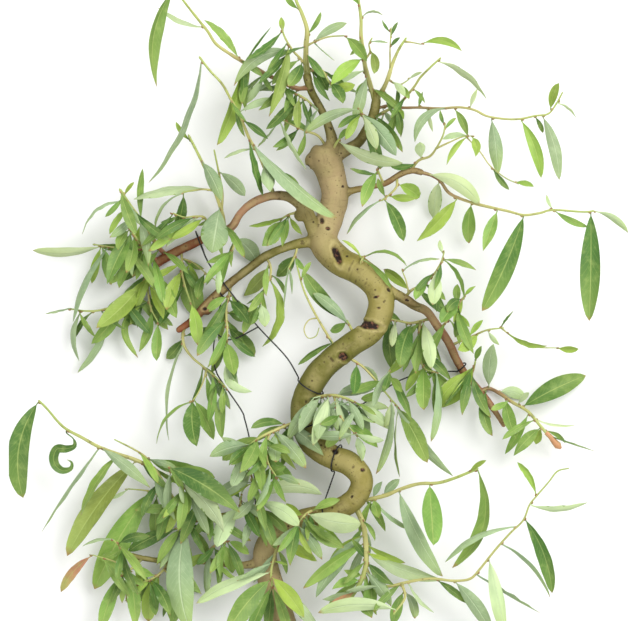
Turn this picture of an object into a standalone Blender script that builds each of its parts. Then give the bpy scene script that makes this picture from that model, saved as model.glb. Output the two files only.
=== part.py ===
"""Curly willow branch, cut and laid down.

A twisted woody stem with its woody side branches is one solid. Each green shoot, with its leaves, is a solid
of its own that springs from the wood, and four thin shaping wires hold branches to the stem. Metres, +Z up.
The branch lies on the plane Z = 0, and the origin is the low spot of the stem beside its cut end.

The layout is written on a square grid of GRID metres, x to the right and y down towards the cut end.
Heights over the table, radii and widths of wood and wire are in millimetres.
"""

import math
import random
from typing import NamedTuple

import bmesh
import bpy
from mathutils import Vector
from mathutils.bvhtree import BVHTree

# Driving sizes
GRID = 0.0007  # one step of the layout grid, so that a large leaf is about 75 mm long
ORIGIN = (275, 597)  # the grid point over the spot where the stem rests beside its cut end
MM = 0.001
SEAT_GAP = 0.35 * MM  # between a shoot and the wood that it springs from
CLEAR = 0.4 * MM  # the least gap kept between pieces that only pass each other
LOWEST = 1.6 * MM  # leaves stay this far over the table
STEM_LOWEST = 0.6 * MM  # and shoots this far
HIGHEST = 116 * MM
WOOD_STEP = 4.0 * MM  # between the points of a wooden route, before those that add little go
SHOOT_STEP = 3.5 * MM
TEST_STEP = 1.5 * MM
WIRE_RADIUS = 0.5
WIRE_STAND = 0.76 * MM  # from the wire's middle to the grown wood, so that it clears the bark by 0.6 mm
WIRE_SLACK = 0.28 * MM
WOOD_SLACK = 0.55 * MM
SHOOT_SLACK = 0.6 * MM
PUSHES = 4
WOOD_TEST_SIDES = 10
TRUNK_SIDES = 3  # a curve's bevel resolution: 0 gives 4 sides, 1 gives 6, 3 gives 10
BRANCH_SIDES = 1
SHOOT_SIDES = 0
SEED = 20

# Leaf form
STALK_HALF = 0.5 * MM
STALK_THICK = 0.9 * MM
BLADE_THICK = 0.9 * MM  # at the midrib
FOLD = 0.2  # how far the edges stand over the midrib, as a share of the half width
BROAD = 0.19  # a grown leaf's width as a share of its length
WIDEST_LEAF = 15.5 * MM
DEEPEST = 30 * MM  # how far a leaf's tip stands over or under its base
LONG_STALK = 5.0 * MM
TRIES = 160
CROSSING_TRY = 90  # after this many, a leaf may pass through leaves and stems of its own shoot

UNDERSIDE_TONES = "GP"  # leaves that show their grey or pale underside


class Leaf(NamedTuple):
    """A leaf on the grid: base, tip, seen width in grid steps, tone, sideways bow in grid steps, over or under."""

    x: float
    y: float
    tip_x: float
    tip_y: float
    width: float
    tone: str
    bow: float = 0
    side: int = 0


class Stem(NamedTuple):
    """A green stem: its route on the grid, its radii in mm, and how far it rises in mm towards its end."""

    route: tuple
    start: float
    end: float
    rise: float
    arch: float = 0


class Shoot(NamedTuple):
    """Stems, the first of which springs from the wood and the others from an earlier one, and their leaves."""

    stems: tuple
    leaves: tuple


# The stem from its top to its cut end: x, y, height, radius
TRUNK = (
    (326, 146, 16.0, 8.0), (325, 156, 15.0, 11.3), (331, 174, 11.5, 10.2), (335, 195, 9.2, 9.8),
    (330, 217, 8.2, 9.6), (323, 240, 12.0, 10.4), (339, 260, 19.0, 10.1), (360, 271, 25.0, 9.8),
    (377, 287, 29.0, 9.5), (381, 308, 30.0, 9.3), (371, 331, 31.0, 8.8), (351, 345, 33.0, 8.6),
    (326, 365, 30.0, 8.7), (311, 385, 26.0, 9.0), (304, 405, 22.0, 9.0), (304, 426, 20.0, 8.8),
    (314, 446, 23.0, 8.5), (332, 457, 27.0, 8.5), (351, 465, 31.0, 8.6), (362, 481, 31.0, 8.0),
    (354, 500, 27.0, 7.7), (331, 513, 22.0, 7.6), (302, 522, 16.0, 7.8), (277, 533, 11.5, 8.0),
    (265, 553, 9.2, 8.4), (268, 576, 7.6, 8.5), (275, 597, 7.3, 8.5), (283, 621, 8.6, 8.4),
    (289, 648, 11.0, 8.2),
)

# The woody side branches, each from inside the wood that it leaves: x, y, height, radius
BRANCHES = {
    "arching": (
        (321, 243, 12, 6.0), (313, 228, 15, 5.2), (306, 211, 19, 4.6), (292, 198, 23, 3.9),
        (275, 195, 25, 3.3), (255, 201, 24, 2.9), (240, 213, 21, 2.8), (232, 226, 17, 2.8),
        (219, 233, 13, 2.9), (204, 238, 9.5, 3.0), (180, 249, 5.0, 3.5), (156, 262, 2.9, 3.6),
    ),
    "left": (
        (318, 240, 12, 5.0), (300, 243, 14, 3.6), (286, 247, 15, 2.9), (265, 256, 15, 3.1),
        (249, 268, 13, 3.0), (231, 282, 11.5, 3.2), (215, 296, 11, 3.3), (203, 308, 11, 3.3),
        (192, 320, 11, 2.8), (178, 330, 12, 2.4),
    ),
    "right": (
        (340, 194, 9, 4.0), (352, 190, 12, 2.6), (366, 187, 15, 2.1), (385, 183, 18, 2.1),
        (400, 174, 21, 2.2), (412, 170, 23, 2.4), (422, 172, 24, 2.2),
    ),
    "low_right": (
        (380, 284, 29, 5.0), (393, 292, 28, 3.6), (405, 299, 25, 3.5), (416, 306, 22, 3.3),
        (428, 312, 18, 3.0), (438, 326, 13, 3.1), (449, 342, 9.5, 3.0), (458, 361, 6.5, 2.9),
        (468, 377, 4.0, 2.8), (481, 391, 2.0, 2.6), (493, 407, 4.0, 2.3), (505, 426, 8, 1.9),
    ),
    "snag": ((407, 299, 25, 3.0), (413, 303, 26, 2.6), (420, 306, 28, 1.2)),
    "leader": (
        (328, 150, 15, 6.0), (332, 140, 19, 4.0), (326, 119, 24, 3.1), (318, 103, 28, 2.8),
        (311, 90, 31, 2.9), (307, 76, 34, 3.0),
    ),
    "fork": (
        (338, 154, 15, 5.0), (349, 148, 17, 4.0), (361, 139, 19, 3.6), (372, 118, 22, 3.5),
        (376, 103, 24, 3.4), (376, 92, 25, 2.7),
    ),
    "lower_left": (
        (272, 535, 11, 4.5), (258, 521, 12, 3.6), (244, 513, 13, 3.0), (226, 517, 13, 2.7),
        (208, 519, 12, 2.8), (188, 520, 11, 2.8),
    ),
    "bottom_left": (
        (266, 560, 9, 4.5), (250, 566, 9, 3.0), (230, 566, 9, 2.6), (205, 563, 9, 2.4),
        (180, 563, 10, 2.2), (158, 562, 12, 2.1), (140, 559, 14, 2.0), (124, 555, 16, 1.8),
    ),
}

# Swellings where shoots were pruned: x, y, height, radius
BURLS = ((314, 160, 15, 6.5), (336, 146, 17, 5.0), (300, 215, 19, 4.6), (380, 292, 30, 8.6), (206, 309, 11, 4.4))

# Shallow pruning scars: grid point on the stem, radius of the scoop and its depth
SCARS = ((342, 259, 6.5, 2.2), (362, 332, 7.0, 2.0), (344, 358, 6.0, 2.0), (335, 452, 4.5, 1.4))

SHOOTS = {
    "shoot_top_left": Shoot(
        (Stem(((309, 87), (297, 88), (283, 82), (268, 75), (254, 67), (245, 63), (230, 54), (216, 44), (208, 32),
               (200, 22), (185, 3), (175, -11)), 1.7, 0.8, 18),),
        (
            Leaf(176, -10, 157, 87, 12, "M", -12),
            Leaf(203, 28, 158, 8, 6, "P", 3),
            Leaf(240, 58, 204, 20, 9, "M", -3),
            Leaf(243, 64, 217, 145, 14, "B", 3),
            Leaf(262, 73, 243, 104, 8, "P", 2),
        ),
    ),
    "shoot_leader": Shoot(
        (
            Stem(((308, 80), (306, 62), (306, 45), (307, 30), (302, 14), (297, 3), (291, -14)), 2.4, 0.9, 14),
            Stem(((306, 66), (300, 58), (293, 51), (285, 38), (281, 26)), 1.0, 0.6, 14),
            Stem(((306, 46), (314, 42), (328, 37), (344, 36)), 0.8, 0.5, 8),
            Stem(((307, 72), (314, 69), (322, 70), (328, 80), (332, 86)), 1.0, 0.6, 6),
        ),
        (
            Leaf(292, 52, 234, 86, 12, "G", -11),
            Leaf(287, 46, 269, 117, 12, "O", 2),
            Leaf(302, 60, 288, 87, 13, "D", 2),
            Leaf(283, 31, 246, 60, 8, "D", 4),
            Leaf(314, 42, 347, 23, 9, "G", 3),
            Leaf(344, 37, 367, 61, 12, "M", 2),
            Leaf(316, 69, 328, 90, 12, "D"),
            Leaf(327, 82, 343, 104, 12, "D", 2),
            Leaf(330, 85, 355, 85, 10, "B", -2),
        ),
    ),
    "shoot_knob_left": Shoot(
        (Stem(((327, 147), (318, 135), (305, 130), (290, 123), (275, 116)), 1.1, 0.6, 12),),
        (
            Leaf(279, 118, 306, 169, 4, "P", -3),
            Leaf(298, 127, 276, 150, 6, "D", 2),
        ),
    ),
    "shoot_leader_low": Shoot(
        (Stem(((323, 113), (314, 106), (306, 99), (298, 94)), 1.0, 0.6, 10),),
        (
            Leaf(305, 98, 244, 95, 6, "D", -7),
            Leaf(299, 95, 299, 129, 9, "O", -2),
        ),
    ),
    "shoot_left_arch": Shoot(
        (Stem(((274, 196), (266, 172), (258, 153), (250, 140), (244, 126), (238, 112), (230, 98), (222, 84),
               (210, 71), (200, 58)), 1.4, 0.8, 25),),
        (
            Leaf(201, 60, 149, 183, 7, "G", 9),
            Leaf(248, 137, 263, 196, 8, "D", -2),
            Leaf(251, 143, 337, 218, 10, "P", -4, 1),
            Leaf(263, 163, 270, 192, 14, "P", 2),
            Leaf(267, 172, 300, 191, 10, "D", 5),
            Leaf(240, 112, 275, 98, 8, "P", 2),
        ),
    ),
    "shoot_left_pair": Shoot(
        (
            Stem(((224, 231), (222, 215), (217, 198), (211, 182), (202, 162), (189, 136)), 1.6, 0.9, 30),
            Stem(((221, 212), (222, 192), (219, 175), (214, 150)), 1.0, 0.6, 14),
            Stem(((214, 190), (204, 189), (194, 190), (183, 192)), 0.8, 0.5, 4),
        ),
        (
            Leaf(203, 160, 222, 202, 14, "G", 2),
            Leaf(220, 172, 245, 196, 12, "G", 2),
            Leaf(209, 187, 133, 199, 9, "P", -6),
            Leaf(221, 205, 212, 253, 28, "G", 0, 1),
            Leaf(183, 192, 173, 231, 11, "D", 3),
        ),
    ),
    "shoot_arch_middle": Shoot(
        (Stem(((206, 238), (206, 226), (204, 217), (194, 216), (184, 217), (173, 213)), 1.0, 0.5, 16),),
        (
            Leaf(203, 219, 167, 238, 9, "G", -2),
            Leaf(200, 217, 165, 247, 7, "P", -4),
        ),
    ),
    "shoot_tip_upright": Shoot(
        (Stem(((166, 256), (156, 245), (144, 225), (131, 207), (120, 190)), 1.7, 1.1, 30),),
        (
            Leaf(141, 220, 142, 168, 6, "M", 3),
        ),
    ),
    "shoot_tip_left": Shoot(
        (
            Stem(((158, 262), (146, 251), (137, 240), (130, 229)), 1.3, 0.8, 22),
            Stem(((145, 249), (130, 249), (112, 247), (92, 244)), 0.9, 0.5, 2),
        ),
        (
            Leaf(130, 229, 118, 250, 10, "M", -3),
            Leaf(131, 231, 107, 284, 16, "M", -2),
            Leaf(134, 236, 126, 273, 12, "M", 2),
            Leaf(103, 246, 31, 250, 9, "P", 6),
            Leaf(101, 246, 110, 286, 13, "M", 2),
            Leaf(112, 249, 72, 322, 9, "G", -8),
        ),
    ),
    "shoot_tip_down": Shoot(
        (
            Stem(((161, 262), (148, 274), (136, 290), (120, 303), (100, 310), (84, 311), (70, 309)), 1.3, 0.6, 10),
            Stem(((147, 276), (147, 292), (150, 308), (157, 322)), 0.9, 0.5, 8),
        ),
        (
            Leaf(151, 270, 118, 299, 12, "D", 2),
            Leaf(142, 281, 96, 328, 20, "B", 3),
            Leaf(124, 300, 90, 344, 13, "M", 3),
            Leaf(82, 311, 78, 361, 6, "G", -9),
            Leaf(107, 308, 76, 373, 6, "G", 9),
            Leaf(149, 300, 137, 358, 7, "M", -21),
            Leaf(156, 321, 156, 361, 11, "M"),
            Leaf(149, 273, 176, 318, 16, "M", 2),
        ),
    ),
    "shoot_hanging": Shoot(
        (
            Stem(((180, 249), (181, 260), (181, 272), (185, 288), (190, 302)), 1.0, 0.6, 9),
            Stem(((181, 258), (192, 262), (204, 272), (216, 281)), 0.6, 0.4, 4),
        ),
        (
            Leaf(181, 262, 195, 319, 24, "M", 2),
            Leaf(190, 302, 197, 346, 14, "B", 2),
            Leaf(206, 273, 197, 299, 9, "D", -2),
            Leaf(182, 270, 166, 310, 13, "B", -2),
        ),
    ),
    "shoot_arch_drop": Shoot(
        (Stem(((231, 228), (234, 238), (232, 250), (224, 258), (219, 263)), 1.0, 0.6, 7),),
        (
            Leaf(235, 236, 257, 263, 18, "G", 3),
            Leaf(233, 246, 221, 286, 9, "M", -3),
            Leaf(220, 261, 218, 295, 7, "P"),
            Leaf(232, 250, 206, 262, 7, "M", 2),
        ),
    ),
    "shoot_arch_inner": Shoot(
        (Stem(((303, 206), (296, 212), (289, 214), (282, 218)), 1.2, 0.7, -3),),
        (
            Leaf(287, 214, 250, 225, 6, "B", 1),
            Leaf(283, 218, 262, 246, 16, "M", 2),
            Leaf(290, 214, 282, 247, 8, "M"),
        ),
    ),
    "shoot_left_upper": Shoot(
        (Stem(((297, 243), (296, 252), (292, 261), (288, 269)), 1.0, 0.6, 8),),
        (
            Leaf(296, 252, 276, 276, 14, "D", 2),
        ),
    ),
    "shoot_left_middle": Shoot(
        (Stem(((265, 256), (270, 265), (270, 276), (264, 290), (260, 302)), 1.0, 0.6, 9),),
        (
            Leaf(270, 265, 243, 296, 14, "O", 2),
            Leaf(268, 279, 262, 347, 10, "B", 13),
            Leaf(260, 301, 265, 327, 12, "P", 1),
            Leaf(265, 288, 248, 312, 8, "M", 1),
        ),
    ),
    "shoot_left_lower": Shoot(
        (Stem(((230, 283), (229, 293), (226, 304), (226, 318), (227, 332), (226, 346), (228, 357)), 1.2, 0.6, 14),),
        (
            Leaf(228, 301, 249, 324, 12, "D", 2),
            Leaf(224, 320, 197, 356, 13, "D", -3),
            Leaf(228, 328, 254, 357, 15, "D", 2),
            Leaf(227, 340, 234, 375, 15, "M"),
            Leaf(228, 356, 252, 392, 9, "P", -13),
            Leaf(228, 296, 207, 312, 9, "M", -2),
            Leaf(226, 344, 212, 366, 8, "B", -2),
        ),
    ),
    "shoot_left_end": Shoot(
        (
            Stem(((184, 326), (182, 336), (184, 347), (192, 358), (203, 367), (214, 376), (226, 388)), 1.2, 0.5, 12),
            Stem(((206, 370), (202, 384), (196, 396), (190, 403)), 0.7, 0.4, 4),
        ),
        (
            Leaf(182, 338, 165, 359, 12, "D", 2),
            Leaf(182, 344, 168, 441, 4, "G", -7),
            Leaf(204, 369, 190, 405, 5, "D", 1),
            Leaf(211, 373, 208, 422, 9, "M", 2),
            Leaf(193, 400, 197, 446, 18, "D", -3),
            Leaf(225, 387, 222, 439, 11, "M", -4),
            Leaf(191, 402, 156, 444, 6, "M", -8),
            Leaf(192, 400, 212, 440, 14, "M", 2),
        ),
    ),
    "shoot_tine_left": Shoot(
        (
            Stem(((375, 98), (371, 87), (368, 77), (365, 65), (363, 50), (361, 35), (361, 20), (359, 4),
                  (356, -12)), 2.0, 0.9, 18),
            Stem(((364, 60), (370, 52), (369, 44), (372, 38)), 0.8, 0.5, 7),
        ),
        (
            Leaf(362, 58, 331, 85, 13, "B", -3),
            Leaf(366, 70, 328, 88, 8, "P", -2),
            Leaf(369, 50, 374, 74, 9, "O", 3),
        ),
    ),
    "shoot_tine_right": Shoot(
        (
            Stem(((376, 100), (383, 89), (388, 78), (392, 65), (396, 55), (400, 47), (406, 38)), 1.9, 0.8, 6),
            Stem(((391, 70), (390, 50), (391, 28)), 0.7, 0.4, 12),
            Stem(((388, 78), (394, 83), (401, 84), (408, 80)), 0.7, 0.4, 5),
            Stem(((404, 41), (412, 42), (421, 44)), 0.7, 0.4, 4),
        ),
        (
            Leaf(420, 44, 462, 51, 8, "B", 7),
        ),
    ),
    "shoot_far_twig": Shoot(
        (Stem(((373, 110), (383, 106), (392, 105), (403, 107), (420, 107), (440, 108), (460, 107), (475, 110), (487, 116),
               (505, 119), (520, 119), (535, 116), (548, 114), (556, 104), (562, 93)), 1.1, 0.6, 24),),
        (
            Leaf(448, 108, 415, 142, 9, "G", -10),
            Leaf(452, 108, 468, 136, 8, "M", 2),
            Leaf(491, 117, 498, 175, 14, "G", 1),
            Leaf(521, 119, 541, 178, 11, "B", 4),
            Leaf(545, 114, 559, 180, 13, "G", 4),
            Leaf(550, 111, 558, 84, 9, "B", 2),
        ),
    ),
    "shoot_pale_twig": Shoot(
        (Stem(((371, 119), (381, 113), (391, 108), (401, 102), (414, 87), (420, 78), (430, 68), (440, 59)), 1.2, 0.7, 34),),
        (
            Leaf(438, 60, 486, 100, 6, "P", 5),
        ),
    ),
    "shoot_knob_right": Shoot(
        (Stem(((368, 127), (364, 117), (360, 109)), 1.2, 0.8, 18),),
        (
            Leaf(359, 109, 305, 133, 9, "G", -5),
            Leaf(361, 112, 337, 129, 7, "D", -2),
            Leaf(362, 114, 346, 140, 10, "B", -2),
            Leaf(362, 111, 377, 151, 12, "P", 1),
            Leaf(362, 111, 396, 156, 16, "G", 2),
            Leaf(363, 111, 398, 148, 7, "M", 4),
        ),
    ),
    "shoot_knob_front": Shoot(
        (Stem(((333, 153), (335, 145), (339, 139)), 1.1, 0.8, 14),),
        (
            Leaf(338, 140, 403, 163, 12, "P", -6, 1),
        ),
    ),
    "shoot_right_long": Shoot(
        (Stem(((418, 171), (432, 175), (441, 181), (450, 193), (468, 201), (486, 206), (508, 211), (524, 215),
               (540, 213), (553, 210), (583, 212), (593, 211)), 1.3, 0.7, 22),),
        (
            Leaf(427, 173, 480, 205, 15, "P", 8, 1),
            Leaf(440, 180, 434, 218, 14, "P", -1),
            Leaf(457, 197, 417, 241, 14, "B", 2),
            Leaf(474, 203, 470, 243, 14, "M", -2),
            Leaf(493, 207, 483, 251, 12, "M"),
            Leaf(525, 215, 482, 311, 20, "M", 3),
            Leaf(590, 211, 589, 321, 20, "M", 1),
            Leaf(556, 210, 588, 227, 7, "M", -2),
            Leaf(592, 213, 628, 233, 7, "P", 4),
        ),
    ),
    "shoot_right_upper": Shoot(
        (
            Stem(((411, 170), (419, 160), (430, 156), (437, 147), (443, 135), (445, 124)), 1.1, 0.5, 26),
            Stem(((436, 149), (450, 142), (462, 137), (471, 136)), 0.7, 0.4, 6),
            Stem(((466, 137), (480, 152), (490, 166), (505, 178), (518, 184)), 0.5, 0.4, 5),
        ),
        (
            Leaf(421, 159, 420, 142, 11, "P"),
            Leaf(470, 136, 475, 157, 9, "B", 3),
            Leaf(468, 138, 447, 165, 6, "B", -4),
        ),
    ),
    "shoot_right_lower": Shoot(
        (Stem(((397, 176), (397, 186), (390, 194), (382, 200)), 1.0, 0.6, 0),),
        (
            Leaf(397, 180, 420, 197, 14, "B", 2),
            Leaf(384, 199, 404, 241, 13, "D", 3),
            Leaf(388, 196, 417, 198, 8, "B", -1),
        ),
    ),
    "shoot_right_base": Shoot(
        (Stem(((384, 184), (381, 177), (378, 170)), 1.0, 0.7, 9),),
        (
            Leaf(378, 171, 362, 207, 12, "M", -2, 1),
        ),
    ),
    "shoot_stem_arc": Shoot(
        (Stem(((360, 270), (361, 262), (364, 256)), 0.9, 0.6, 6),),
        (
        ),
    ),
    "shoot_low_base": Shoot(
        (
            Stem(((404, 299), (412, 290), (424, 284), (434, 274), (441, 262), (444, 252)), 1.1, 0.5, 20),
            Stem(((409, 293), (406, 280), (402, 270)), 0.6, 0.4, 8),
        ),
        (
            Leaf(410, 292, 384, 269, 10, "B", -1),
            Leaf(430, 278, 415, 300, 10, "M", -2),
            Leaf(437, 270, 432, 305, 14, "P", 1),
            Leaf(425, 283, 446, 300, 8, "M", 1),
        ),
    ),
    "shoot_low_snag": Shoot(
        (Stem(((440, 330), (450, 318), (458, 306), (464, 297)), 1.0, 0.6, 16),),
        (
            Leaf(461, 301, 441, 323, 14, "M", -2),
            Leaf(463, 298, 447, 312, 10, "D", -3),
        ),
    ),
    "shoot_low_inner": Shoot(
        (
            Stem(((432, 318), (422, 321), (411, 323), (399, 321), (387, 318)), 1.1, 0.6, 8),
            Stem(((421, 321), (419, 338), (420, 355), (425, 369), (436, 372)), 0.9, 0.5, 6),
        ),
        (
            Leaf(412, 324, 400, 367, 18, "D", -3),
            Leaf(419, 331, 416, 374, 12, "M", -1),
            Leaf(423, 323, 431, 369, 14, "P", 2, 1),
            Leaf(388, 318, 394, 371, 14, "D", -3),
            Leaf(396, 321, 392, 347, 8, "P"),
            Leaf(422, 366, 424, 410, 16, "M"),
            Leaf(435, 372, 436, 417, 11, "M", 2),
            Leaf(436, 372, 430, 441, 4, "G", 6),
            Leaf(424, 367, 406, 392, 8, "B", -2),
        ),
    ),
    "shoot_low_middle": Shoot(
        (Stem(((470, 380), (474, 371), (476, 362)), 1.0, 0.7, 14),),
        (
            Leaf(475, 365, 440, 409, 18, "B", 3),
            Leaf(473, 372, 436, 412, 14, "B", -6),
        ),
    ),
    "shoot_low_outer": Shoot(
        (
            Stem(((451, 346), (462, 341), (474, 336), (488, 330), (504, 328)), 1.0, 0.5, 16),
            Stem(((502, 328), (516, 339), (536, 347), (557, 348)), 0.5, 0.4, 2),
        ),
        (
            Leaf(480, 333, 458, 350, 12, "B", 2),
            Leaf(508, 333, 548, 346, 5, "B", -4),
        ),
    ),
    "shoot_low_end": Shoot(
        (
            Stem(((481, 392), (490, 389), (501, 394), (514, 403), (529, 412), (541, 426), (552, 439)), 1.4, 1.0, 18),
            Stem(((547, 433), (552, 438), (556, 443), (559, 446)), 1.2, 2.6, 1),
        ),
        (
            Leaf(490, 391, 494, 344, 15, "G", 2),
            Leaf(498, 392, 526, 399, 12, "P", 4),
            Leaf(524, 409, 588, 376, 20, "B", 2),
            Leaf(487, 391, 492, 437, 11, "D", -6),
            Leaf(506, 398, 517, 439, 13, "M", -2),
            Leaf(541, 427, 514, 456, 12, "M", -2),
        ),
    ),
    "shoot_stem_twig": Shoot(
        (
            Stem(((340, 355), (325, 331), (312, 308), (303, 288), (297, 266)), 1.1, 0.6, 10),
            Stem(((318, 318), (309, 320), (304, 329), (308, 338), (316, 336), (319, 328)), 0.5, 0.35, 3),
        ),
        (
            Leaf(332, 343, 298, 365, 6, "D", -2),
        ),
    ),
    "shoot_knee": Shoot(
        (Stem(((356, 341), (352, 330), (347, 321)), 1.2, 0.9, -6),),
        (
            Leaf(348, 323, 304, 272, 15, "D", 4),
            Leaf(351, 328, 313, 293, 11, "G", -3),
        ),
    ),
    "shoot_scar": Shoot(
        (
            Stem(((338, 352), (351, 359), (362, 366), (372, 376), (382, 388), (390, 398), (398, 407)), 1.1, 0.6, 8),
            Stem(((383, 389), (388, 380), (390, 370)), 0.6, 0.4, 6),
        ),
        (
            Leaf(354, 361, 354, 394, 11, "D"),
            Leaf(399, 406, 427, 462, 18, "M", 2),
            Leaf(394, 402, 453, 477, 6, "G", -6),
            Leaf(391, 399, 376, 474, 4, "G", 5),
            Leaf(397, 405, 401, 478, 4, "P", -3),
            Leaf(389, 376, 402, 392, 9, "M", 1),
            Leaf(384, 390, 362, 400, 9, "M", 2),
            Leaf(393, 401, 384, 428, 10, "P", 2),
        ),
    ),
    "shoot_front_left": Shoot(
        (
            Stem(((304, 418), (291, 424), (275, 430), (259, 438), (245, 449)), 1.4, 0.8, 16, 10),
            Stem(((270, 432), (266, 446), (268, 462), (276, 476)), 0.9, 0.5, 6),
        ),
        (
            Leaf(247, 446, 222, 437, 9, "G", 2),
            Leaf(258, 438, 240, 472, 14, "M", 2),
            Leaf(268, 446, 262, 474, 10, "G"),
            Leaf(274, 431, 306, 468, 14, "G", 2),
            Leaf(280, 428, 276, 462, 14, "G", -2),
            Leaf(287, 425, 324, 456, 13, "G", 3),
            Leaf(284, 426, 250, 428, 9, "D", -5),
            Leaf(262, 436, 222, 461, 14, "M", -3),
            Leaf(250, 444, 210, 456, 14, "G", -3),
            Leaf(246, 448, 232, 486, 14, "G", 2),
            Leaf(253, 442, 262, 492, 12, "M", 2),
            Leaf(268, 455, 294, 490, 14, "M", 2),
            Leaf(294, 422, 306, 446, 13, "G", 2),
            Leaf(272, 470, 254, 490, 9, "B", 2),
            Leaf(276, 475, 300, 484, 8, "G", 2),
            Leaf(266, 446, 290, 452, 8, "M", 2),
        ),
    ),
    "shoot_front_right": Shoot(
        (
            Stem(((306, 400), (318, 397), (332, 395), (346, 398), (360, 405)), 1.3, 0.7, 18, 8),
            Stem(((334, 396), (338, 410), (346, 424), (356, 434)), 0.9, 0.5, 6),
        ),
        (
            Leaf(322, 396, 300, 432, 14, "G", -2),
            Leaf(330, 396, 318, 440, 16, "G", -2),
            Leaf(336, 397, 374, 390, 13, "G", 3),
            Leaf(342, 398, 340, 442, 16, "G"),
            Leaf(350, 400, 368, 440, 14, "G", 2),
            Leaf(357, 403, 392, 431, 12, "P", 2),
            Leaf(360, 405, 389, 409, 9, "P", 2),
            Leaf(352, 401, 358, 424, 12, "D", 1),
            Leaf(319, 397, 288, 440, 13, "G", -3),
            Leaf(346, 424, 378, 448, 12, "M", 2),
            Leaf(356, 433, 362, 462, 10, "P", 1),
            Leaf(349, 427, 326, 448, 11, "M", -2),
            Leaf(340, 414, 320, 424, 9, "D", 1),
            Leaf(355, 433, 384, 440, 7, "P", -2),
        ),
    ),
    "shoot_long_left": Shoot(
        (
            Stem(((191, 520), (181, 512), (170, 497), (162, 484), (153, 470), (136, 461), (116, 454), (98, 447),
                  (82, 438), (63, 427), (47, 409), (39, 401)), 1.9, 0.8, 26),
            Stem(((155, 473), (146, 459), (133, 450), (114, 440)), 0.9, 0.5, 8),
            Stem(((169, 496), (158, 496), (147, 492), (127, 490)), 0.8, 0.5, -6),
        ),
        (
            Leaf(39, 402, 23, 498, 22, "M", -12),
            Leaf(68, 430, 56, 464, 9, "D", 17),
            Leaf(97, 447, 41, 532, 4, "G", -3),
            Leaf(101, 448, 150, 488, 12, "G", 2, 1),
            Leaf(117, 454, 80, 516, 9, "M", -4),
            Leaf(137, 462, 66, 557, 20, "O", -5),
            Leaf(146, 458, 200, 469, 14, "M", -3),
            Leaf(150, 492, 93, 591, 26, "M", -4),
            Leaf(176, 506, 160, 534, 9, "M", -2),
        ),
    ),
    "shoot_left_inner": Shoot(
        (Stem(((216, 518), (207, 506), (191, 494), (178, 481), (168, 467)), 1.2, 0.7, 22),),
        (
            Leaf(169, 468, 240, 512, 22, "D", 4, 1),
            Leaf(180, 484, 224, 531, 18, "P", 6, 1),
            Leaf(170, 470, 215, 478, 11, "M", 3),
            Leaf(190, 493, 160, 508, 9, "G", 2),
            Leaf(184, 488, 188, 514, 8, "M", 1),
            Leaf(205, 504, 236, 494, 9, "M", 2),
        ),
    ),
    "shoot_left_under": Shoot(
        (Stem(((194, 520), (186, 526), (177, 530)), 1.1, 0.7, 2),),
        (
            Leaf(185, 526, 190, 632, 28, "G", -9),
            Leaf(178, 530, 127, 553, 14, "D", -3),
            Leaf(181, 528, 156, 566, 10, "M", -2),
            Leaf(187, 525, 208, 560, 10, "M", 2),
        ),
    ),
    "shoot_left_crook": Shoot(
        (Stem(((243, 513), (240, 506), (241, 497)), 1.1, 0.7, 14),),
        (
            Leaf(239, 506, 217, 547, 18, "P", -4, 1),
            Leaf(241, 502, 262, 520, 9, "G", 2),
        ),
    ),
    "shoot_bottom_tip": Shoot(
        (
            Stem(((142, 559), (134, 567), (126, 573), (118, 577)), 1.1, 0.7, 6),
            Stem(((129, 571), (112, 562), (92, 556)), 0.6, 0.4, 4),
        ),
        (
            Leaf(120, 576, 100, 630, 14, "M", -2),
            Leaf(128, 572, 134, 630, 14, "M", 3),
            Leaf(93, 556, 60, 593, 10, "R", -4),
            Leaf(122, 575, 110, 604, 7, "D", 1),
        ),
    ),
    "shoot_bottom_middle": Shoot(
        (
            Stem(((168, 563), (162, 572), (153, 579), (143, 583)), 1.1, 0.7, 6),
            Stem(((163, 570), (172, 582), (178, 596)), 0.7, 0.5, 4),
        ),
        (
            Leaf(144, 583, 126, 604, 10, "R", -3),
            Leaf(160, 574, 147, 624, 17, "B", -3),
            Leaf(154, 578, 118, 590, 9, "R", 3),
            Leaf(164, 571, 200, 596, 12, "D", 3),
            Leaf(150, 580, 170, 616, 12, "D", 3),
            Leaf(178, 596, 170, 628, 10, "M", 1),
            Leaf(156, 577, 132, 566, 9, "M", 2),
        ),
    ),
    "shoot_bottom_end": Shoot(
        (Stem(((130, 557), (122, 550), (113, 541)), 1.0, 0.6, 8),),
        (
            Leaf(119, 547, 150, 536, 10, "D", 3),
            Leaf(120, 549, 98, 560, 8, "M", 2),
        ),
    ),
    "shoot_bottom_inner": Shoot(
        (Stem(((206, 563), (208, 553), (215, 546), (226, 542)), 1.0, 0.6, 8),),
        (
            Leaf(209, 551, 207, 602, 8, "G", -2),
            Leaf(216, 546, 196, 566, 8, "D", 1),
            Leaf(222, 543, 232, 575, 13, "M", 2),
            Leaf(226, 542, 242, 582, 9, "D", 2),
            Leaf(225, 542, 250, 556, 9, "M", 2),
            Leaf(213, 547, 218, 590, 8, "D", 2),
        ),
    ),
    "shoot_stem_front": Shoot(
        (Stem(((273, 534), (277, 544), (274, 558), (271, 572), (272, 587)), 1.2, 0.8, 14, 7),),
        (
            Leaf(271, 573, 196, 604, 13, "P", -5),
            Leaf(270, 580, 225, 636, 22, "M", -4),
            Leaf(271, 586, 267, 640, 11, "D"),
            Leaf(273, 577, 304, 617, 16, "B", 2),
            Leaf(273, 584, 321, 634, 12, "P", 3),
            Leaf(272, 587, 246, 646, 12, "M", -2),
            Leaf(272, 588, 290, 640, 10, "M", 2),
        ),
    ),
    "shoot_stem_middle": Shoot(
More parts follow.
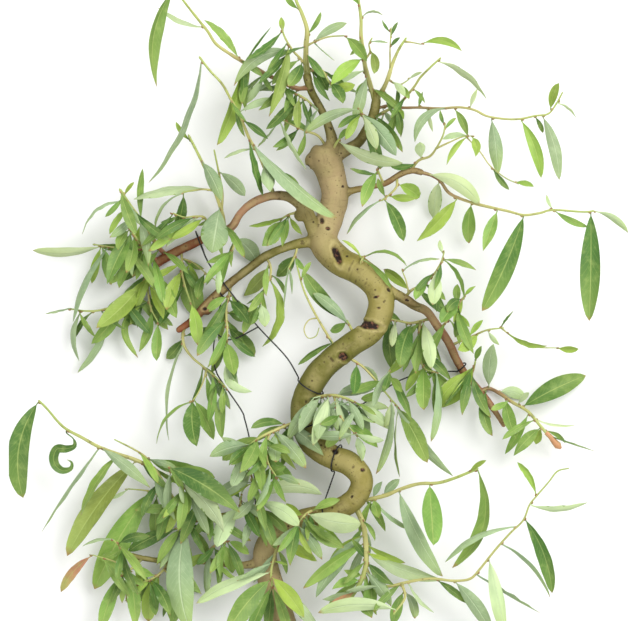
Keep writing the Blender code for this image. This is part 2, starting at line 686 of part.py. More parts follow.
        (Stem(((258, 521), (257, 510), (258, 498), (254, 486), (250, 471)), 1.2, 0.7, 20),),
        (
            Leaf(256, 499, 322, 495, 15, "P", 10),
            Leaf(257, 503, 299, 526, 15, "P", 5),
            Leaf(258, 509, 287, 534, 10, "M", 3),
            Leaf(255, 488, 286, 466, 11, "M", 3),
            Leaf(253, 482, 218, 496, 13, "G", -3),
            Leaf(251, 474, 236, 452, 10, "M", 2),
            Leaf(251, 474, 272, 452, 9, "G", 2),
            Leaf(257, 494, 232, 520, 10, "G", 2),
        ),
    ),
    "shoot_stem_centre": Shoot(
        (Stem(((322, 515), (313, 511), (304, 516), (297, 525)), 1.1, 0.7, 12, 8),),
        (
            Leaf(307, 514, 361, 523, 20, "P", -3, 1),
            Leaf(299, 521, 290, 566, 12, "D", -2),
            Leaf(301, 518, 344, 548, 13, "M", -3),
            Leaf(311, 512, 340, 500, 9, "M", 2),
            Leaf(297, 525, 322, 560, 11, "G", 2),
            Leaf(304, 516, 286, 504, 9, "B", 2),
            Leaf(298, 523, 272, 546, 9, "G", 2),
        ),
    ),
    "shoot_low_long": Shoot(
        (Stem(((349, 506), (364, 501), (385, 496), (402, 489), (419, 484), (438, 483), (455, 478), (477, 469)),
              1.6, 1.0, 14),),
        (
            Leaf(432, 483, 433, 544, 21, "M"),
            Leaf(474, 471, 452, 568, 13, "M", 20),
            Leaf(374, 499, 379, 518, 10, "M"),
            Leaf(399, 491, 443, 577, 15, "G", -4),
            Leaf(368, 500, 415, 531, 4, "G", -4),
        ),
    ),
    "shoot_low_right": Shoot(
        (
            Stem(((354, 503), (359, 514), (364, 527), (366, 546), (366, 566), (360, 584), (348, 602)), 2.1, 1.6, 4),
            Stem(((366, 568), (374, 582), (387, 587), (410, 582), (432, 579), (453, 581), (470, 579), (480, 569),
                  (495, 550), (510, 533), (523, 520), (529, 505), (536, 496), (548, 482), (557, 471), (568, 468)),
                 1.2, 0.5, 20),
            Stem(((402, 584), (405, 598), (394, 614)), 1.0, 0.7, 8),
        ),
        (
            Leaf(365, 538, 316, 598, 16, "G", -4),
            Leaf(366, 548, 303, 589, 12, "M", -3),
            Leaf(397, 611, 318, 613, 13, "P", -7),
            Leaf(364, 572, 391, 606, 14, "G", 2),
            Leaf(366, 562, 394, 585, 10, "D", -2),
            Leaf(366, 553, 444, 581, 13, "P", -4),
            Leaf(405, 592, 394, 626, 12, "M", -2),
            Leaf(405, 590, 414, 618, 10, "G", 3),
            Leaf(436, 579, 467, 604, 8, "D", 1),
            Leaf(454, 581, 493, 636, 15, "G", 3),
            Leaf(490, 556, 505, 636, 14, "P", 1),
            Leaf(476, 574, 540, 613, 4, "G", -2),
            Leaf(500, 544, 550, 597, 3, "G", 6),
            Leaf(514, 529, 445, 562, 4, "G", -10),
            Leaf(523, 519, 552, 593, 13, "D", 6),
            Leaf(530, 503, 587, 502, 9, "P", -7),
            Leaf(534, 498, 517, 462, 6, "B", -4),
            Leaf(361, 582, 332, 589, 10, "M", -3),
            Leaf(352, 596, 372, 618, 12, "D", 2),
            Leaf(355, 592, 330, 604, 8, "R", 2),
        ),
    ),
}


def place(x, y, height):
    """A grid point, at a height in millimetres over the table."""
    return Vector(((x - ORIGIN[0]) * GRID, (ORIGIN[1] - y) * GRID, height * MM))


def lengths_of(points):
    """The length along a row of points, at each of them."""
    sums = [0.0]
    for start, end in zip(points, points[1:]):
        sums.append(sums[-1] + (end.xyz - start.xyz).length)
    return sums


def evenly(points, spacing):
    """Points about a given distance apart along a row of 4D points (x, y, z, radius)."""
    sums = lengths_of(points)
    count = max(2, round(sums[-1] / spacing))
    found = []
    index = 0
    for step in range(count + 1):
        wanted = sums[-1] * step / count
        while index < len(points) - 2 and sums[index + 1] < wanted:
            index += 1
        span = max(sums[index + 1] - sums[index], 1e-9)
        found.append(points[index].lerp(points[index + 1], (wanted - sums[index]) / span))
    return found


def thinned(points, slack):
    """The fewest of the points that keep every other one within a slack of the line through them."""
    if len(points) < 3:
        return points
    start, end = points[0], points[-1]
    run = end - start
    worst, index = 0.0, 0
    for step in range(1, len(points) - 1):
        share = max(0.0, min(1.0, (points[step] - start).dot(run) / run.length_squared))
        gap = (points[step] - start.lerp(end, share)).length
        if gap > worst:
            worst, index = gap, step
    if worst <= slack:
        return [start, end]
    return thinned(points[:index + 1], slack)[:-1] + thinned(points[index:], slack)


def smooth(points, spacing):
    """A smooth curve through 4D points, as points about a given distance apart."""
    steps = 12
    padded = [2 * points[0] - points[1], *points, 2 * points[-1] - points[-2]]
    fine = []
    for before, start, end, after in zip(padded, padded[1:], padded[2:], padded[3:]):
        for step in range(steps):
            t = step / steps
            slope = (end - before) * t
            bend = (2 * before - 5 * start + 4 * end - after) * t * t
            twist = (3 * start - before - 3 * end + after) * t**3
            fine.append(0.5 * (2 * start + slope + bend + twist))
    fine.append(points[-1])
    return evenly(fine, spacing)


def routed(rows, spacing):
    """A smooth route through rows of x, y, height and radius."""
    points = []
    for x, y, height, radius in rows:
        point = place(x, y, height)
        points.append(Vector((*point, radius * MM)))
    return smooth(points, spacing)


def mesh_object(name, verts, faces):
    """A mesh object, linked to the scene so that Booleans can read it."""
    mesh = bpy.data.meshes.new(name)
    mesh.from_pydata([tuple(vert) for vert in verts], [], faces)
    made = bpy.data.objects.new(name, mesh)
    bpy.context.scene.collection.objects.link(made)
    return made


def longer(route, grow):
    """A route with both ends moved outwards."""
    start = route[0].xyz + (route[0].xyz - route[1].xyz).normalized() * grow
    end = route[-1].xyz + (route[-1].xyz - route[-2].xyz).normalized() * grow
    return [Vector((*start, route[0].w)), *route[1:-1], Vector((*end, route[-1].w))]


def tube(name, route, sides, grow=0.0):
    """A closed tube along a route of 4D points: a bevelled curve, made a mesh with its caps welded on."""
    route = longer(route, grow)
    data = bpy.data.curves.new(name, "CURVE")
    data.dimensions = "3D"
    data.bevel_depth = MM
    data.bevel_resolution = sides
    data.use_fill_caps = True
    line = data.splines.new("POLY")
    line.points.add(len(route) - 1)
    for knot, point in zip(line.points, route):
        knot.co = (*point.xyz, 1)
        knot.radius = (point.w + grow) / MM
    curve = bpy.data.objects.new(name, data)
    bpy.context.scene.collection.objects.link(curve)
    graph = bpy.context.evaluated_depsgraph_get()
    mesh = bpy.data.meshes.new_from_object(curve.evaluated_get(graph))
    bpy.data.objects.remove(curve)
    shape = bmesh.new()
    shape.from_mesh(mesh)
    bmesh.ops.remove_doubles(shape, verts=shape.verts, dist=1e-6)
    bmesh.ops.recalc_face_normals(shape, faces=shape.faces)
    shape.to_mesh(mesh)
    shape.free()
    made = bpy.data.objects.new(name, mesh)
    bpy.context.scene.collection.objects.link(made)
    return made


def ball(name, centre, radius):
    """A small icosphere."""
    shape = bmesh.new()
    bmesh.ops.create_icosphere(shape, subdivisions=2, radius=radius)
    bmesh.ops.translate(shape, verts=shape.verts, vec=centre)
    mesh = bpy.data.meshes.new(name)
    shape.to_mesh(mesh)
    shape.free()
    made = bpy.data.objects.new(name, mesh)
    bpy.context.scene.collection.objects.link(made)
    return made


def closed_bodies(mesh):
    """Whether a mesh is closed, and the sizes of its bodies."""
    shape = bmesh.new()
    shape.from_mesh(mesh)
    closed = all(edge.is_manifold for edge in shape.edges) and len(shape.faces) > 0
    left = set(shape.verts)
    bodies = []
    while left:
        front = [left.pop()]
        body = set(front)
        while front:
            for edge in front.pop().link_edges:
                for vert in edge.verts:
                    if vert in left:
                        left.discard(vert)
                        body.add(vert)
                        front.append(vert)
        bodies.append({vert.index for vert in body})
    shape.free()
    return closed, sorted(bodies, key=len, reverse=True)


def keep_body(mesh, body):
    """Removes all but one body from a mesh."""
    shape = bmesh.new()
    shape.from_mesh(mesh)
    loose = [vert for vert in shape.verts if vert.index not in body]
    bmesh.ops.delete(shape, geom=loose, context="VERTS")
    shape.to_mesh(mesh)
    shape.free()


def fused(name, pieces, cutters=()):
    """One closed body from overlapping pieces by a Boolean union, with any cutters taken from it."""
    target, *others = pieces
    group = bpy.data.collections.new(name + "_pieces")
    for piece in others:
        group.objects.link(piece)
    found = None
    for solver in ("EXACT", "MANIFOLD"):
        target.modifiers.clear()
        if others:
            union = target.modifiers.new("union", "BOOLEAN")
            union.operation = "UNION"
            union.operand_type = "COLLECTION"
            union.collection = group
            union.solver = solver
        for cutter in cutters:
            cut = target.modifiers.new("cut", "BOOLEAN")
            cut.operation = "DIFFERENCE"
            cut.object = cutter
            cut.solver = solver
        graph = bpy.context.evaluated_depsgraph_get()
        mesh = bpy.data.meshes.new_from_object(target.evaluated_get(graph))
        closed, bodies = closed_bodies(mesh)
        if closed:
            found = mesh
            if len(bodies) > 1:
                print(f"{name}: {len(bodies)} bodies of {[len(body) for body in bodies][:6]} points")
                keep_body(found, bodies[0])
            break
        print(f"{name}: the {solver} solver left it open")
    for piece in pieces:
        bpy.data.objects.remove(piece)
    bpy.data.collections.remove(group)
    if found is None:
        raise RuntimeError(f"{name} did not fuse")
    made = bpy.data.objects.new(name, found)
    bpy.context.scene.collection.objects.link(made)
    return made


class Wood:
    """The stem and its woody branches: their routes, and the solid, grown by any margin."""

    def __init__(self):
        self.routes = {"stem": routed(TRUNK, WOOD_STEP)}
        for name, rows in BRANCHES.items():
            self.routes[name] = routed(rows, WOOD_STEP)
        self.lines = [thinned(route, WOOD_SLACK) for route in self.routes.values()]
        for x, y, height, radius in BURLS:
            middle = Vector((*place(x, y, height), radius * MM))
            up = Vector((0, 0, 0.7 * radius * MM, 0))
            slim = Vector((0, 0, 0, 0.3 * radius * MM))
            self.lines.append([middle - up - slim, middle, middle + up - slim])

    def solid(self, name, grow=0.0):
        """The stem, its branches and its burls as one body, each radius grown by a margin."""
        pieces = []
        for branch, route in self.routes.items():
            sides = TRUNK_SIDES if branch == "stem" else BRANCH_SIDES
            pieces.append(tube(branch, thinned(route, WOOD_SLACK), sides, grow))
        for x, y, height, radius in BURLS:
            pieces.append(ball("burl", place(x, y, height), radius * MM + grow))
        return fused(name, pieces)

    def nearest(self, x, y):
        """The point of the centre lines that is nearest to a grid point, seen from above."""
        spot = place(x, y, 0).xy
        points = [point for route in self.routes.values() for point in route]
        return min(points, key=lambda point: (point.xy - spot).length)

    def bark_at(self, point):
        """How far a point is from the grown wood, negative inside it, and the way out."""
        best = None
        for route in self.lines:
            for start, end in zip(route, route[1:]):
                run = end.xyz - start.xyz
                share = max(0.0, min(1.0, (point - start.xyz).dot(run) / run.length_squared))
                middle = start.lerp(end, share)
                away = point - middle.xyz
                gap = away.length - middle.w - SEAT_GAP
                if best is None or gap < best[0]:
                    best = (gap, away.normalized())
        return best

    def round_at(self, branch, x, y, turn, clearance):
        """Points of a wire wound round a branch, from one angle to another, measured from the top."""
        route = self.routes[branch]
        spot = place(x, y, 0).xy
        index = min(range(1, len(route) - 1), key=lambda i: (route[i].xy - spot).length)
        along = (route[index + 1].xyz - route[index - 1].xyz).normalized()
        up = (Vector((0, 0, 1)) - along * along.z).normalized()
        side = along.cross(up)
        start, end = turn
        count = max(4, round(abs(end - start) / 32))
        points = []
        for step in range(count + 1):
            angle = math.radians(start + (end - start) * step / count)
            reach = route[index].w + clearance
            creep = along * (WINDING_PITCH * (step / count - 0.5))
            points.append(route[index].xyz + reach * (math.cos(angle) * up + math.sin(angle) * side) + creep)
        return points


WINDING_PITCH = 2.6 * MM
WINDING_GAP = (WIRE_RADIUS + 0.75) * MM


def prism(route, grow, sides=4):
    """The points and faces of a plain tube along a route, for testing what it would touch."""
    verts = []
    for index, point in enumerate(route):
        before = route[max(index - 1, 0)].xyz
        after = route[min(index + 1, len(route) - 1)].xyz
        along = (after - before).normalized()
        side = along.cross(Vector((0, 0, 1)))
        side = side.normalized() if side.length > 1e-3 else Vector((1, 0, 0))
        up = side.cross(along)
        for corner in range(sides):
            angle = 2 * math.pi * corner / sides
            verts.append(point.xyz + (point.w + grow) * (math.cos(angle) * side + math.sin(angle) * up))
    faces = []
    for ring in range(len(route) - 1):
        for corner in range(sides):
            a = ring * sides + corner
            b = ring * sides + (corner + 1) % sides
            faces += [(a, b, b + sides), (a, b + sides, a + sides)]
    return verts, faces


def nearest_on(routes, spot):
    """The point on some routes that is nearest to a spot, seen from above."""
    found = None
    for route in routes:
        for start, end in zip(route, route[1:]):
            run = end.xy - start.xy
            share = (spot - start.xy).dot(run) / max(run.length_squared, 1e-12)
            point = start.lerp(end, max(0.0, min(1.0, share)))
            gap = (point.xy - spot).length
            if found is None or gap < found[0]:
                found = (gap, point.xyz)
    return found[1]


class Room:
    """What is already in place, for finding out whether a new piece would touch it."""

    def __init__(self):
        self.rows = []

    def add(self, verts, faces, key):
        """Puts a piece in place under a key."""
        self.rows.append((*self.box(verts), BVHTree.FromPolygons(verts, faces), key))

    @staticmethod
    def box(verts):
        """The lowest and highest corner of some points."""
        low = Vector([min(vert[axis] for vert in verts) for axis in range(3)])
        high = Vector([max(vert[axis] for vert in verts) for axis in range(3)])
        return low, high

    def touches(self, verts, faces, leave_out=()):
        """Whether a piece would touch anything; a key, or the name that it starts with, can be left out."""
        low, high = self.box(verts)
        tree = None
        for row_low, row_high, row_tree, key in self.rows:
            if key in leave_out or key[0] in leave_out:
                continue
            if any(low[axis] > row_high[axis] or high[axis] < row_low[axis] for axis in range(3)):
                continue
            tree = tree or BVHTree.FromPolygons(verts, faces)
            if row_tree.overlap(tree):
                return True
        return False


class Blade:
    """One leaf in space: a stalk from its stem, then a lance-shaped blade with a raised edge on each side."""

    def __init__(self, leaf, root, lift, arch, roll, nudge):
        self.leaf = leaf
        self.root = root
        self.roll = roll + (math.pi if leaf.tone in UNDERSIDE_TONES else 0)
        tip = place(leaf.tip_x + nudge[0], leaf.tip_y + nudge[1], 0)
        base = place(leaf.x, leaf.y, 0)
        stalk = (base.xy - root.xy).length
        reach = (tip.xy - base.xy).length
        self.stalked = stalk > LONG_STALK
        self.base = Vector((base.x, base.y, root.z + lift * stalk / (stalk + reach)))
        if not self.stalked:
            self.base = root.copy()
        self.tip = Vector((tip.x, tip.y, root.z + lift))
        self.arch = arch
        flat = self.tip.xy - self.base.xy
        self.bend = Vector((-flat.y, flat.x)).normalized() * (2 * leaf.bow * GRID)
        self.real_width = width_of(leaf)

    def at(self, t):
        """A point of the midrib, from the base at 0 to the tip at 1."""
        point = self.base.lerp(self.tip, t)
        swing = 2 * t * (1 - t)
        return point + Vector((self.bend.x * swing, self.bend.y * swing, self.arch * 2 * swing))

    def half(self, t):
        """Half the blade's width at a place along it."""
        shape = math.sin(math.pi * min(max(t, 0.0), 1.0) ** 0.75) ** 0.85
        return max(STALK_HALF, 0.5 * self.real_width * shape)

    def ring(self, point, along, half, thick):
        """Left edge, upper side, right edge and lower side of the blade at a point."""
        side = along.cross(Vector((0, 0, 1))).normalized()
        up = side.cross(along)
        turned = side * math.cos(self.roll) + up * math.sin(self.roll)
        over = up * math.cos(self.roll) - side * math.sin(self.roll)
        edge = over * (FOLD * (half - STALK_HALF))
        return [point - turned * half + edge, point + over * thick / 2,
                point + turned * half + edge, point - over * thick / 2]

    def mesh(self, grow=0.0, first=0.0):
        """The blade's points and triangles, split alike on both faces; from a place along it if it is a test shape."""
        length = (self.tip - self.base).length
        stations = stations_of(length, self.leaf)
        rings = []
        if grow == 0 and self.stalked:
            rings.append(self.ring(self.root, (self.base - self.root).normalized(), STALK_HALF, STALK_THICK))
        for t in [first, *[station for station in stations if station > first + 0.05]]:
            along = (self.at(min(t + 0.03, 1)) - self.at(max(t - 0.03, 0))).normalized()
            rings.append(self.ring(self.at(t), along, self.half(t) + grow, BLADE_THICK + 2 * grow))
        end = (self.at(1) - self.at(0.95)).normalized()
        verts = [vert for ring in rings for vert in ring] + [self.tip + end * grow]
        faces = [(0, 3, 2), (0, 2, 1)]
        for ring in range(len(rings) - 1):
            for corner in range(4):
                a = 4 * ring + corner
                b = 4 * ring + (corner + 1) % 4
                c, d = b + 4, a + 4
                faces += [(a, b, c), (a, c, d)] if corner % 2 == 0 else [(a, b, d), (b, c, d)]
        last = 4 * (len(rings) - 1)
        faces += [(last + corner, last + (corner + 1) % 4, len(verts) - 1) for corner in range(4)]
        return verts, faces


def width_of(leaf):
    """A leaf's real width: as seen, or more where it is seen on edge."""
    seen = leaf.width * GRID
    length = math.hypot(leaf.tip_x - leaf.x, leaf.tip_y - leaf.y) * GRID
    grown = min(BROAD * length, WIDEST_LEAF)
    return max(seen, 0.75 * grown if seen < 0.4 * grown else grown)


def stations_of(length, leaf):
    """Where the sections of a leaf's blade lie: more on a long or a bowed one."""
    if length < 28 * MM and abs(leaf.bow) < 6:
        return [0.42]
    if length < 54 * MM and abs(leaf.bow) < 8:
        return [0.3, 0.68]
    return [0.2, 0.46, 0.75]


def depth_of(leaf):
    """How far a leaf leans out of the plane: a broad leaf that looks short is seen from its end."""
    length = math.hypot(leaf.tip_x - leaf.x, leaf.tip_y - leaf.y) * GRID
    real = max(length, leaf.width * GRID / 0.26)
    return min(math.sqrt(real * real - length * length), DEEPEST, 0.9 * length)


def leaf_tries(leaf):
    """Lift, arch, roll and nudge of a leaf, the likeliest first; the draws are seeded by the leaf's own place."""
    draw = random.Random(f"{SEED} {leaf.x} {leaf.y} {leaf.tip_x} {leaf.tip_y}")
    seen = leaf.width * GRID
    tilt = math.acos(min(1.0, seen / width_of(leaf)))
    lean = leaf.side or draw.choice((-1, 1, 1))
    turn = draw.choice((-1, 1))
    length = math.hypot(leaf.tip_x - leaf.x, leaf.tip_y - leaf.y) * GRID
    for step in range(TRIES):
        share = step / TRIES
        spread = (3 + 26 * share) * MM
        lift = lean * depth_of(leaf) * (1 - share) + leaf.side * 8 * MM + draw.uniform(-1, 1) * spread
        limit = max(0.75 * length, 6 * MM)
        lift = max(-limit, min(limit, lift))
        arch = draw.uniform(-0.03, 0.10) * length + draw.uniform(-1, 1) * share * 8 * MM
        roll = turn * tilt + draw.uniform(-0.22, 0.22) * (1 + 1.5 * share)
        wander = 5 * max(share - 0.3, 0)
        nudge = (draw.uniform(-wander, wander), draw.uniform(-wander, wander))
        yield lift, arch, roll, nudge


class Plant:
    """Places the stems and leaves of every shoot clear of the wood, the wires and each other."""

    def __init__(self, wood, wires):
        self.wood = wood
        self.room = Room()
        for line in wood.lines:
            self.room.add(*prism(line, SEAT_GAP, WOOD_TEST_SIDES), ("wood",))
        for name, routes in wires.items():
            for route in routes:
                self.room.add(*prism(route, 0.0), (name,))
        self.stems = {}
        self.blades = {name: [] for name in SHOOTS}
        self.missing = []

    def outside(self, point):
        """How far a point is from the wood, negative inside it."""
        return self.wood.bark_at(point)[0]

    def root_of(self, shoot, number, stem):
        """The point where a stem starts: inside the wood, or on the middle line of the stem that it leaves."""
        x, y = stem.route[0]
        if number == 0:
            return place(x, y, self.wood.nearest(x, y).z / MM)
        return nearest_on(self.stems[shoot], place(x, y, 0).xy)

    def stem_route(self, stem, root, rise, arch, spacing=SHOOT_STEP):
        """A stem's route, rising smoothly from its root, with an arch."""
        flat = [Vector((root.x, root.y, 0)), *[place(x, y, 0) for x, y in stem.route[1:]]]
        sums = lengths_of(flat)
        points = []
        for point, length in zip(flat, sums):
            share = length / sums[-1]
            eased = share * share * (3 - 2 * share)
            radius = (stem.start + (stem.end - stem.start) * share) * MM
            height = root.z + rise * eased + arch * math.sin(math.pi * share)
            points.append(Vector((point.x, point.y, height, radius)))
        return smooth(points, spacing)

    def stem_tries(self, stem):
        """Rise and arch of a stem, the stated ones first."""
        for rise_change in (0, 5, -5, 10, -10, 16):
            for arch_change in (0, 3, -3, 6, -6, 9, -9, 13, -13, 18, 24):
                yield (stem.rise + rise_change) * MM, (stem.arch + arch_change) * MM

    def place_stem(self, shoot, number, stem):
        """Finds a free route for a stem and puts it in place."""
        root = self.root_of(shoot, number, stem)
        best = None
        for rise, arch in self.stem_tries(stem):
            route = self.stem_route(stem, root, rise, arch)
            close = self.stem_route(stem, root, rise, arch, TEST_STEP)
            bare, free = 3, 3
            if number == 0:
                bare = next((i for i, p in enumerate(close) if self.outside(p.xyz) > -p.w), len(close))
                free = next((i for i, p in enumerate(close) if self.outside(p.xyz) > p.w + CLEAR), len(close))
            if free > len(close) - 4:
                continue
            best = best or route
            if min(point.z - point.w for point in close[free:]) < STEM_LOWEST:
                continue
            if max(point.z for point in route) > HIGHEST:
                continue
            if self.room.touches(*prism(close[bare:], CLEAR), leave_out={"wood"}):
                continue
            if not self.room.touches(*prism(close[free:], CLEAR)):
                break
        else:
            print(f"{shoot} stem {number}: no free route")
            route = best
        self.stems[shoot].append(thinned(route, SHOOT_SLACK))

    def place_stems(self):
        """Places every stem, the main ones first."""
        for shoot in SHOOTS:
            self.stems[shoot] = []
        most = max(len(shoot.stems) for shoot in SHOOTS.values())
        for number in range(most):
            for name, shoot in SHOOTS.items():
                if number < len(shoot.stems):
                    self.place_stem(name, number, shoot.stems[number])
                    self.room.add(*prism(self.stems[name][-1], 0.0), (name, number))

    def leaf_root(self, shoot, leaf):
        """The point of a shoot's stems where a leaf springs, and the number of that stem."""
        spot = place(leaf.x, leaf.y, 0).xy
        found = None
        for number, route in enumerate(self.stems[shoot]):
            for start, end in zip(route, route[1:]):
                for step in range(5):
                    point = start.lerp(end, step / 4)
                    gap = (point.xy - spot).length
                    if found and gap >= found[0]:
                        continue
                    if self.outside(point.xyz) > 1.2 * MM:
                        found = (gap, point.xyz, number)
        return found[1], found[2]

    def place_leaf(self, shoot, leaf):
        """Finds a free place for a leaf's blade, or leaves the leaf out."""
        root, stem = self.leaf_root(shoot, leaf)
        for step, (lift, arch, roll, nudge) in enumerate(leaf_tries(leaf)):
            blade = Blade(leaf, root, lift, arch, roll, nudge)
            verts, faces = blade.mesh()
            if min(vert.z for vert in verts) < LOWEST or max(vert.z for vert in verts) > HIGHEST:
                continue
            own = {shoot} if step > CROSSING_TRY else ()
            if self.room.touches(*blade.mesh(CLEAR, 0.0 if blade.stalked else 0.14), own):
                continue
            if self.room.touches(verts, faces, own or {(shoot, stem)}):
                continue
            self.room.add(verts, faces, (shoot, leaf))
            self.blades[shoot].append(blade)
            return
        self.missing.append((shoot, leaf))

    def place_leaves(self):
        """Places every leaf, the largest first."""
        rows = [(shoot, leaf) for shoot, parts in SHOOTS.items() for leaf in parts.leaves]
        for shoot, leaf in sorted(rows, key=lambda row: -leaf_size(row[1])):
            self.place_leaf(shoot, leaf)


def leaf_size(leaf):
    """A leaf's seen area, for placing the largest first."""
    return leaf.width * math.hypot(leaf.tip_x - leaf.x, leaf.tip_y - leaf.y)


def straight(rows):
    """Points of a wire between its windings: x, y and height."""
    return [place(x, y, height) for x, y, height in rows]


def wire_route(points, wood):
    """A smooth wire through points, pushed clear of the wood that it is wound on."""
    route = smooth([Vector((*point, WIRE_RADIUS * MM)) for point in points], TEST_STEP)
    for _ in range(PUSHES):
        for point in route:
            gap, out = wood.bark_at(point.xyz)
            if gap < WIRE_STAND:
                point.xyz += out * (WIRE_STAND - gap)
    return thinned(route, WIRE_SLACK)


def wire_routes(wood):
    """The shaping wires: each is wound on a branch at one end and on the stem at the other."""
    long_loop = straight((
        (213, 271, 15.5), (206, 259, 16.0), (201, 247, 15.2), (197, 237, 13.0), (195, 231, 8.8), (197, 236, 4.4),
        (201, 246, 3.6), (205, 257, 7.0), (210, 266, 11.0), (216, 273, 12.8), (227, 288, 15.4), (245, 311, 18.2),
        (258, 327, 20.0), (286, 357, 26.0),
    ))
    long_end = wood.round_at("stem", 310, 387, (100, -200), WINDING_GAP)
    link = straight(((258, 327, 20.0), (247, 333, 18.8), (234, 339, 17.6), (224, 339, 16.6), (215, 333, 16.0)))
    drop_start = wood.round_at("left", 221, 291, (200, -100), WINDING_GAP)
    drop = straight(((216, 318, 15.6), (215, 333, 16.0), (213, 349, 16.0), (214, 366, 15.8), (220, 380, 15.4),
                     (232, 398, 15.0), (241, 411, 15.0), (247, 430, 15.0), (252, 455, 15.0), (254, 480, 15.5)))
    drop_end = wood.round_at("lower_left", 249, 515, (100, -200), WINDING_GAP)
    right_start = wood.round_at("low_right", 463, 369, (-190, 100), WINDING_GAP)
    right = straight(((440, 372, 10.0), (420, 374, 12.0), (400, 381, 14.5), (380, 393, 17.0), (350, 413, 20.0),
                      (328, 425, 23.0)))
    right_end = wood.round_at("stem", 305, 431, (-100, 180), WINDING_GAP)
    short_start = wood.round_at("stem", 338, 460, (-190, 110), WINDING_GAP)
    short_end = wood.round_at("stem", 326, 514, (100, -190), WINDING_GAP)
    return {
        "wire_left": [
            wire_route(long_loop + long_end, wood),
            wire_route(link, wood),
            wire_route(drop_start + drop + drop_end, wood),
        ],
        "wire_right": [wire_route(right_start + right + right_end, wood)],
        "wire_low": [wire_route(short_start + short_end, wood)],
    }


def material(name, colour, roughness, metallic=0.0):
    """A plain finish."""
    made = bpy.data.materials.new(name)
    made.use_nodes = True
    shader = made.node_tree.nodes["Principled BSDF"]
    shader.inputs["Base Color"].default_value = (*colour, 1)
    shader.inputs["Roughness"].default_value = roughness
    shader.inputs["Metallic"].default_value = metallic
    return made


def clear_scene():
    """Removes whatever the scene holds."""
    for old in list(bpy.data.objects):
        bpy.data.objects.remove(old)


def finish(made, group, look):
    """Puts a finished solid in the branch's collection, with its material."""
    for holder in list(made.users_collection):
        holder.objects.unlink(made)
    group.objects.link(made)
    made.data.materials.clear()
    made.data.materials.append(look)
    made.data.shade_smooth()
    made.data.set_sharp_from_angle(angle=math.radians(50))


def table_cutter():
    """A block whose upper face is the table, for the flats that the wood rests on."""
    bpy.ops.mesh.primitive_cube_add(size=1, location=(0, 0.2, -0.05))
    block = bpy.context.object
    block.name = "table_cutter"
    block.scale = (1.2, 1.4, 0.1)
    bpy.ops.object.transform_apply(location=True, rotation=False, scale=True)
    return block


def scar_cutters(wood):
    """Balls that scoop the shallow pruning scars out of the stem's upper side."""
    cutters = []
    for x, y, radius, depth in SCARS:
        spot = place(x, y, 0).xy
        centre = min(wood.routes["stem"], key=lambda point: (point.xy - spot).length)
        across = spot - centre.xy
        height = math.sqrt(max(centre.w**2 - across.length_squared, 0))
        normal = Vector((across.x, across.y, height)).normalized()
        cutters.append(ball("scar", centre.xyz + normal * (centre.w + (radius - depth) * MM), radius * MM))
    return cutters


def build():
    """Builds every solid of the branch."""
    clear_scene()
    group = bpy.data.collections.new("curly_willow_branch")
    bpy.context.scene.collection.children.link(group)
    bark = material("bark", (0.30, 0.24, 0.10), 0.75)
    leaf_green = material("leaf_green", (0.19, 0.36, 0.07), 0.5)
    wire_black = material("wire_black", (0.03, 0.03, 0.03), 0.45)

    wood = Wood()
    wires = wire_routes(wood)
    plant = Plant(wood, wires)
    plant.place_stems()
    plant.place_leaves()

    solid = wood.solid("willow_wood_whole")
    cutters = [table_cutter(), *scar_cutters(wood)]
    finish(fused("willow_wood", [solid], cutters), group, bark)
    for cutter in cutters:
        bpy.data.objects.remove(cutter)

    for name, routes in wires.items():
        pieces = [tube(name, route, SHOOT_SIDES) for route in routes]
        finish(fused(name, pieces), group, wire_black)

    seat = wood.solid("seat", SEAT_GAP)
    for name in SHOOTS:
        pieces = [tube(name, route, SHOOT_SIDES) for route in plant.stems[name]]
        for blade in plant.blades[name]:
            pieces.append(mesh_object(name, *blade.mesh()))
        finish(fused(name, pieces, [seat]), group, leaf_green)
    bpy.data.objects.remove(seat)
    placed = sum(len(blades) for blades in plant.blades.values())
    print(f"{placed} leaves placed, {len(plant.missing)} left out: {plant.missing}")


build()
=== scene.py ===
"""Dresses the curly willow branch: bark, leafy shoots and shaping wires, lying on a pale table.

The branch lies on the plane Z = 0. Its layout is written on a square grid of GRID metres, x to the right and
y down towards the cut end. Heights, radii and rises of wood, shoots and wires are in millimetres.
"""

import logging
import math
import random
from collections.abc import Iterable, Iterator, Sequence
from dataclasses import dataclass, field
from enum import Enum
from typing import NamedTuple

import bpy
import numpy as np
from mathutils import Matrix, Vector, noise
from mathutils.bvhtree import BVHTree


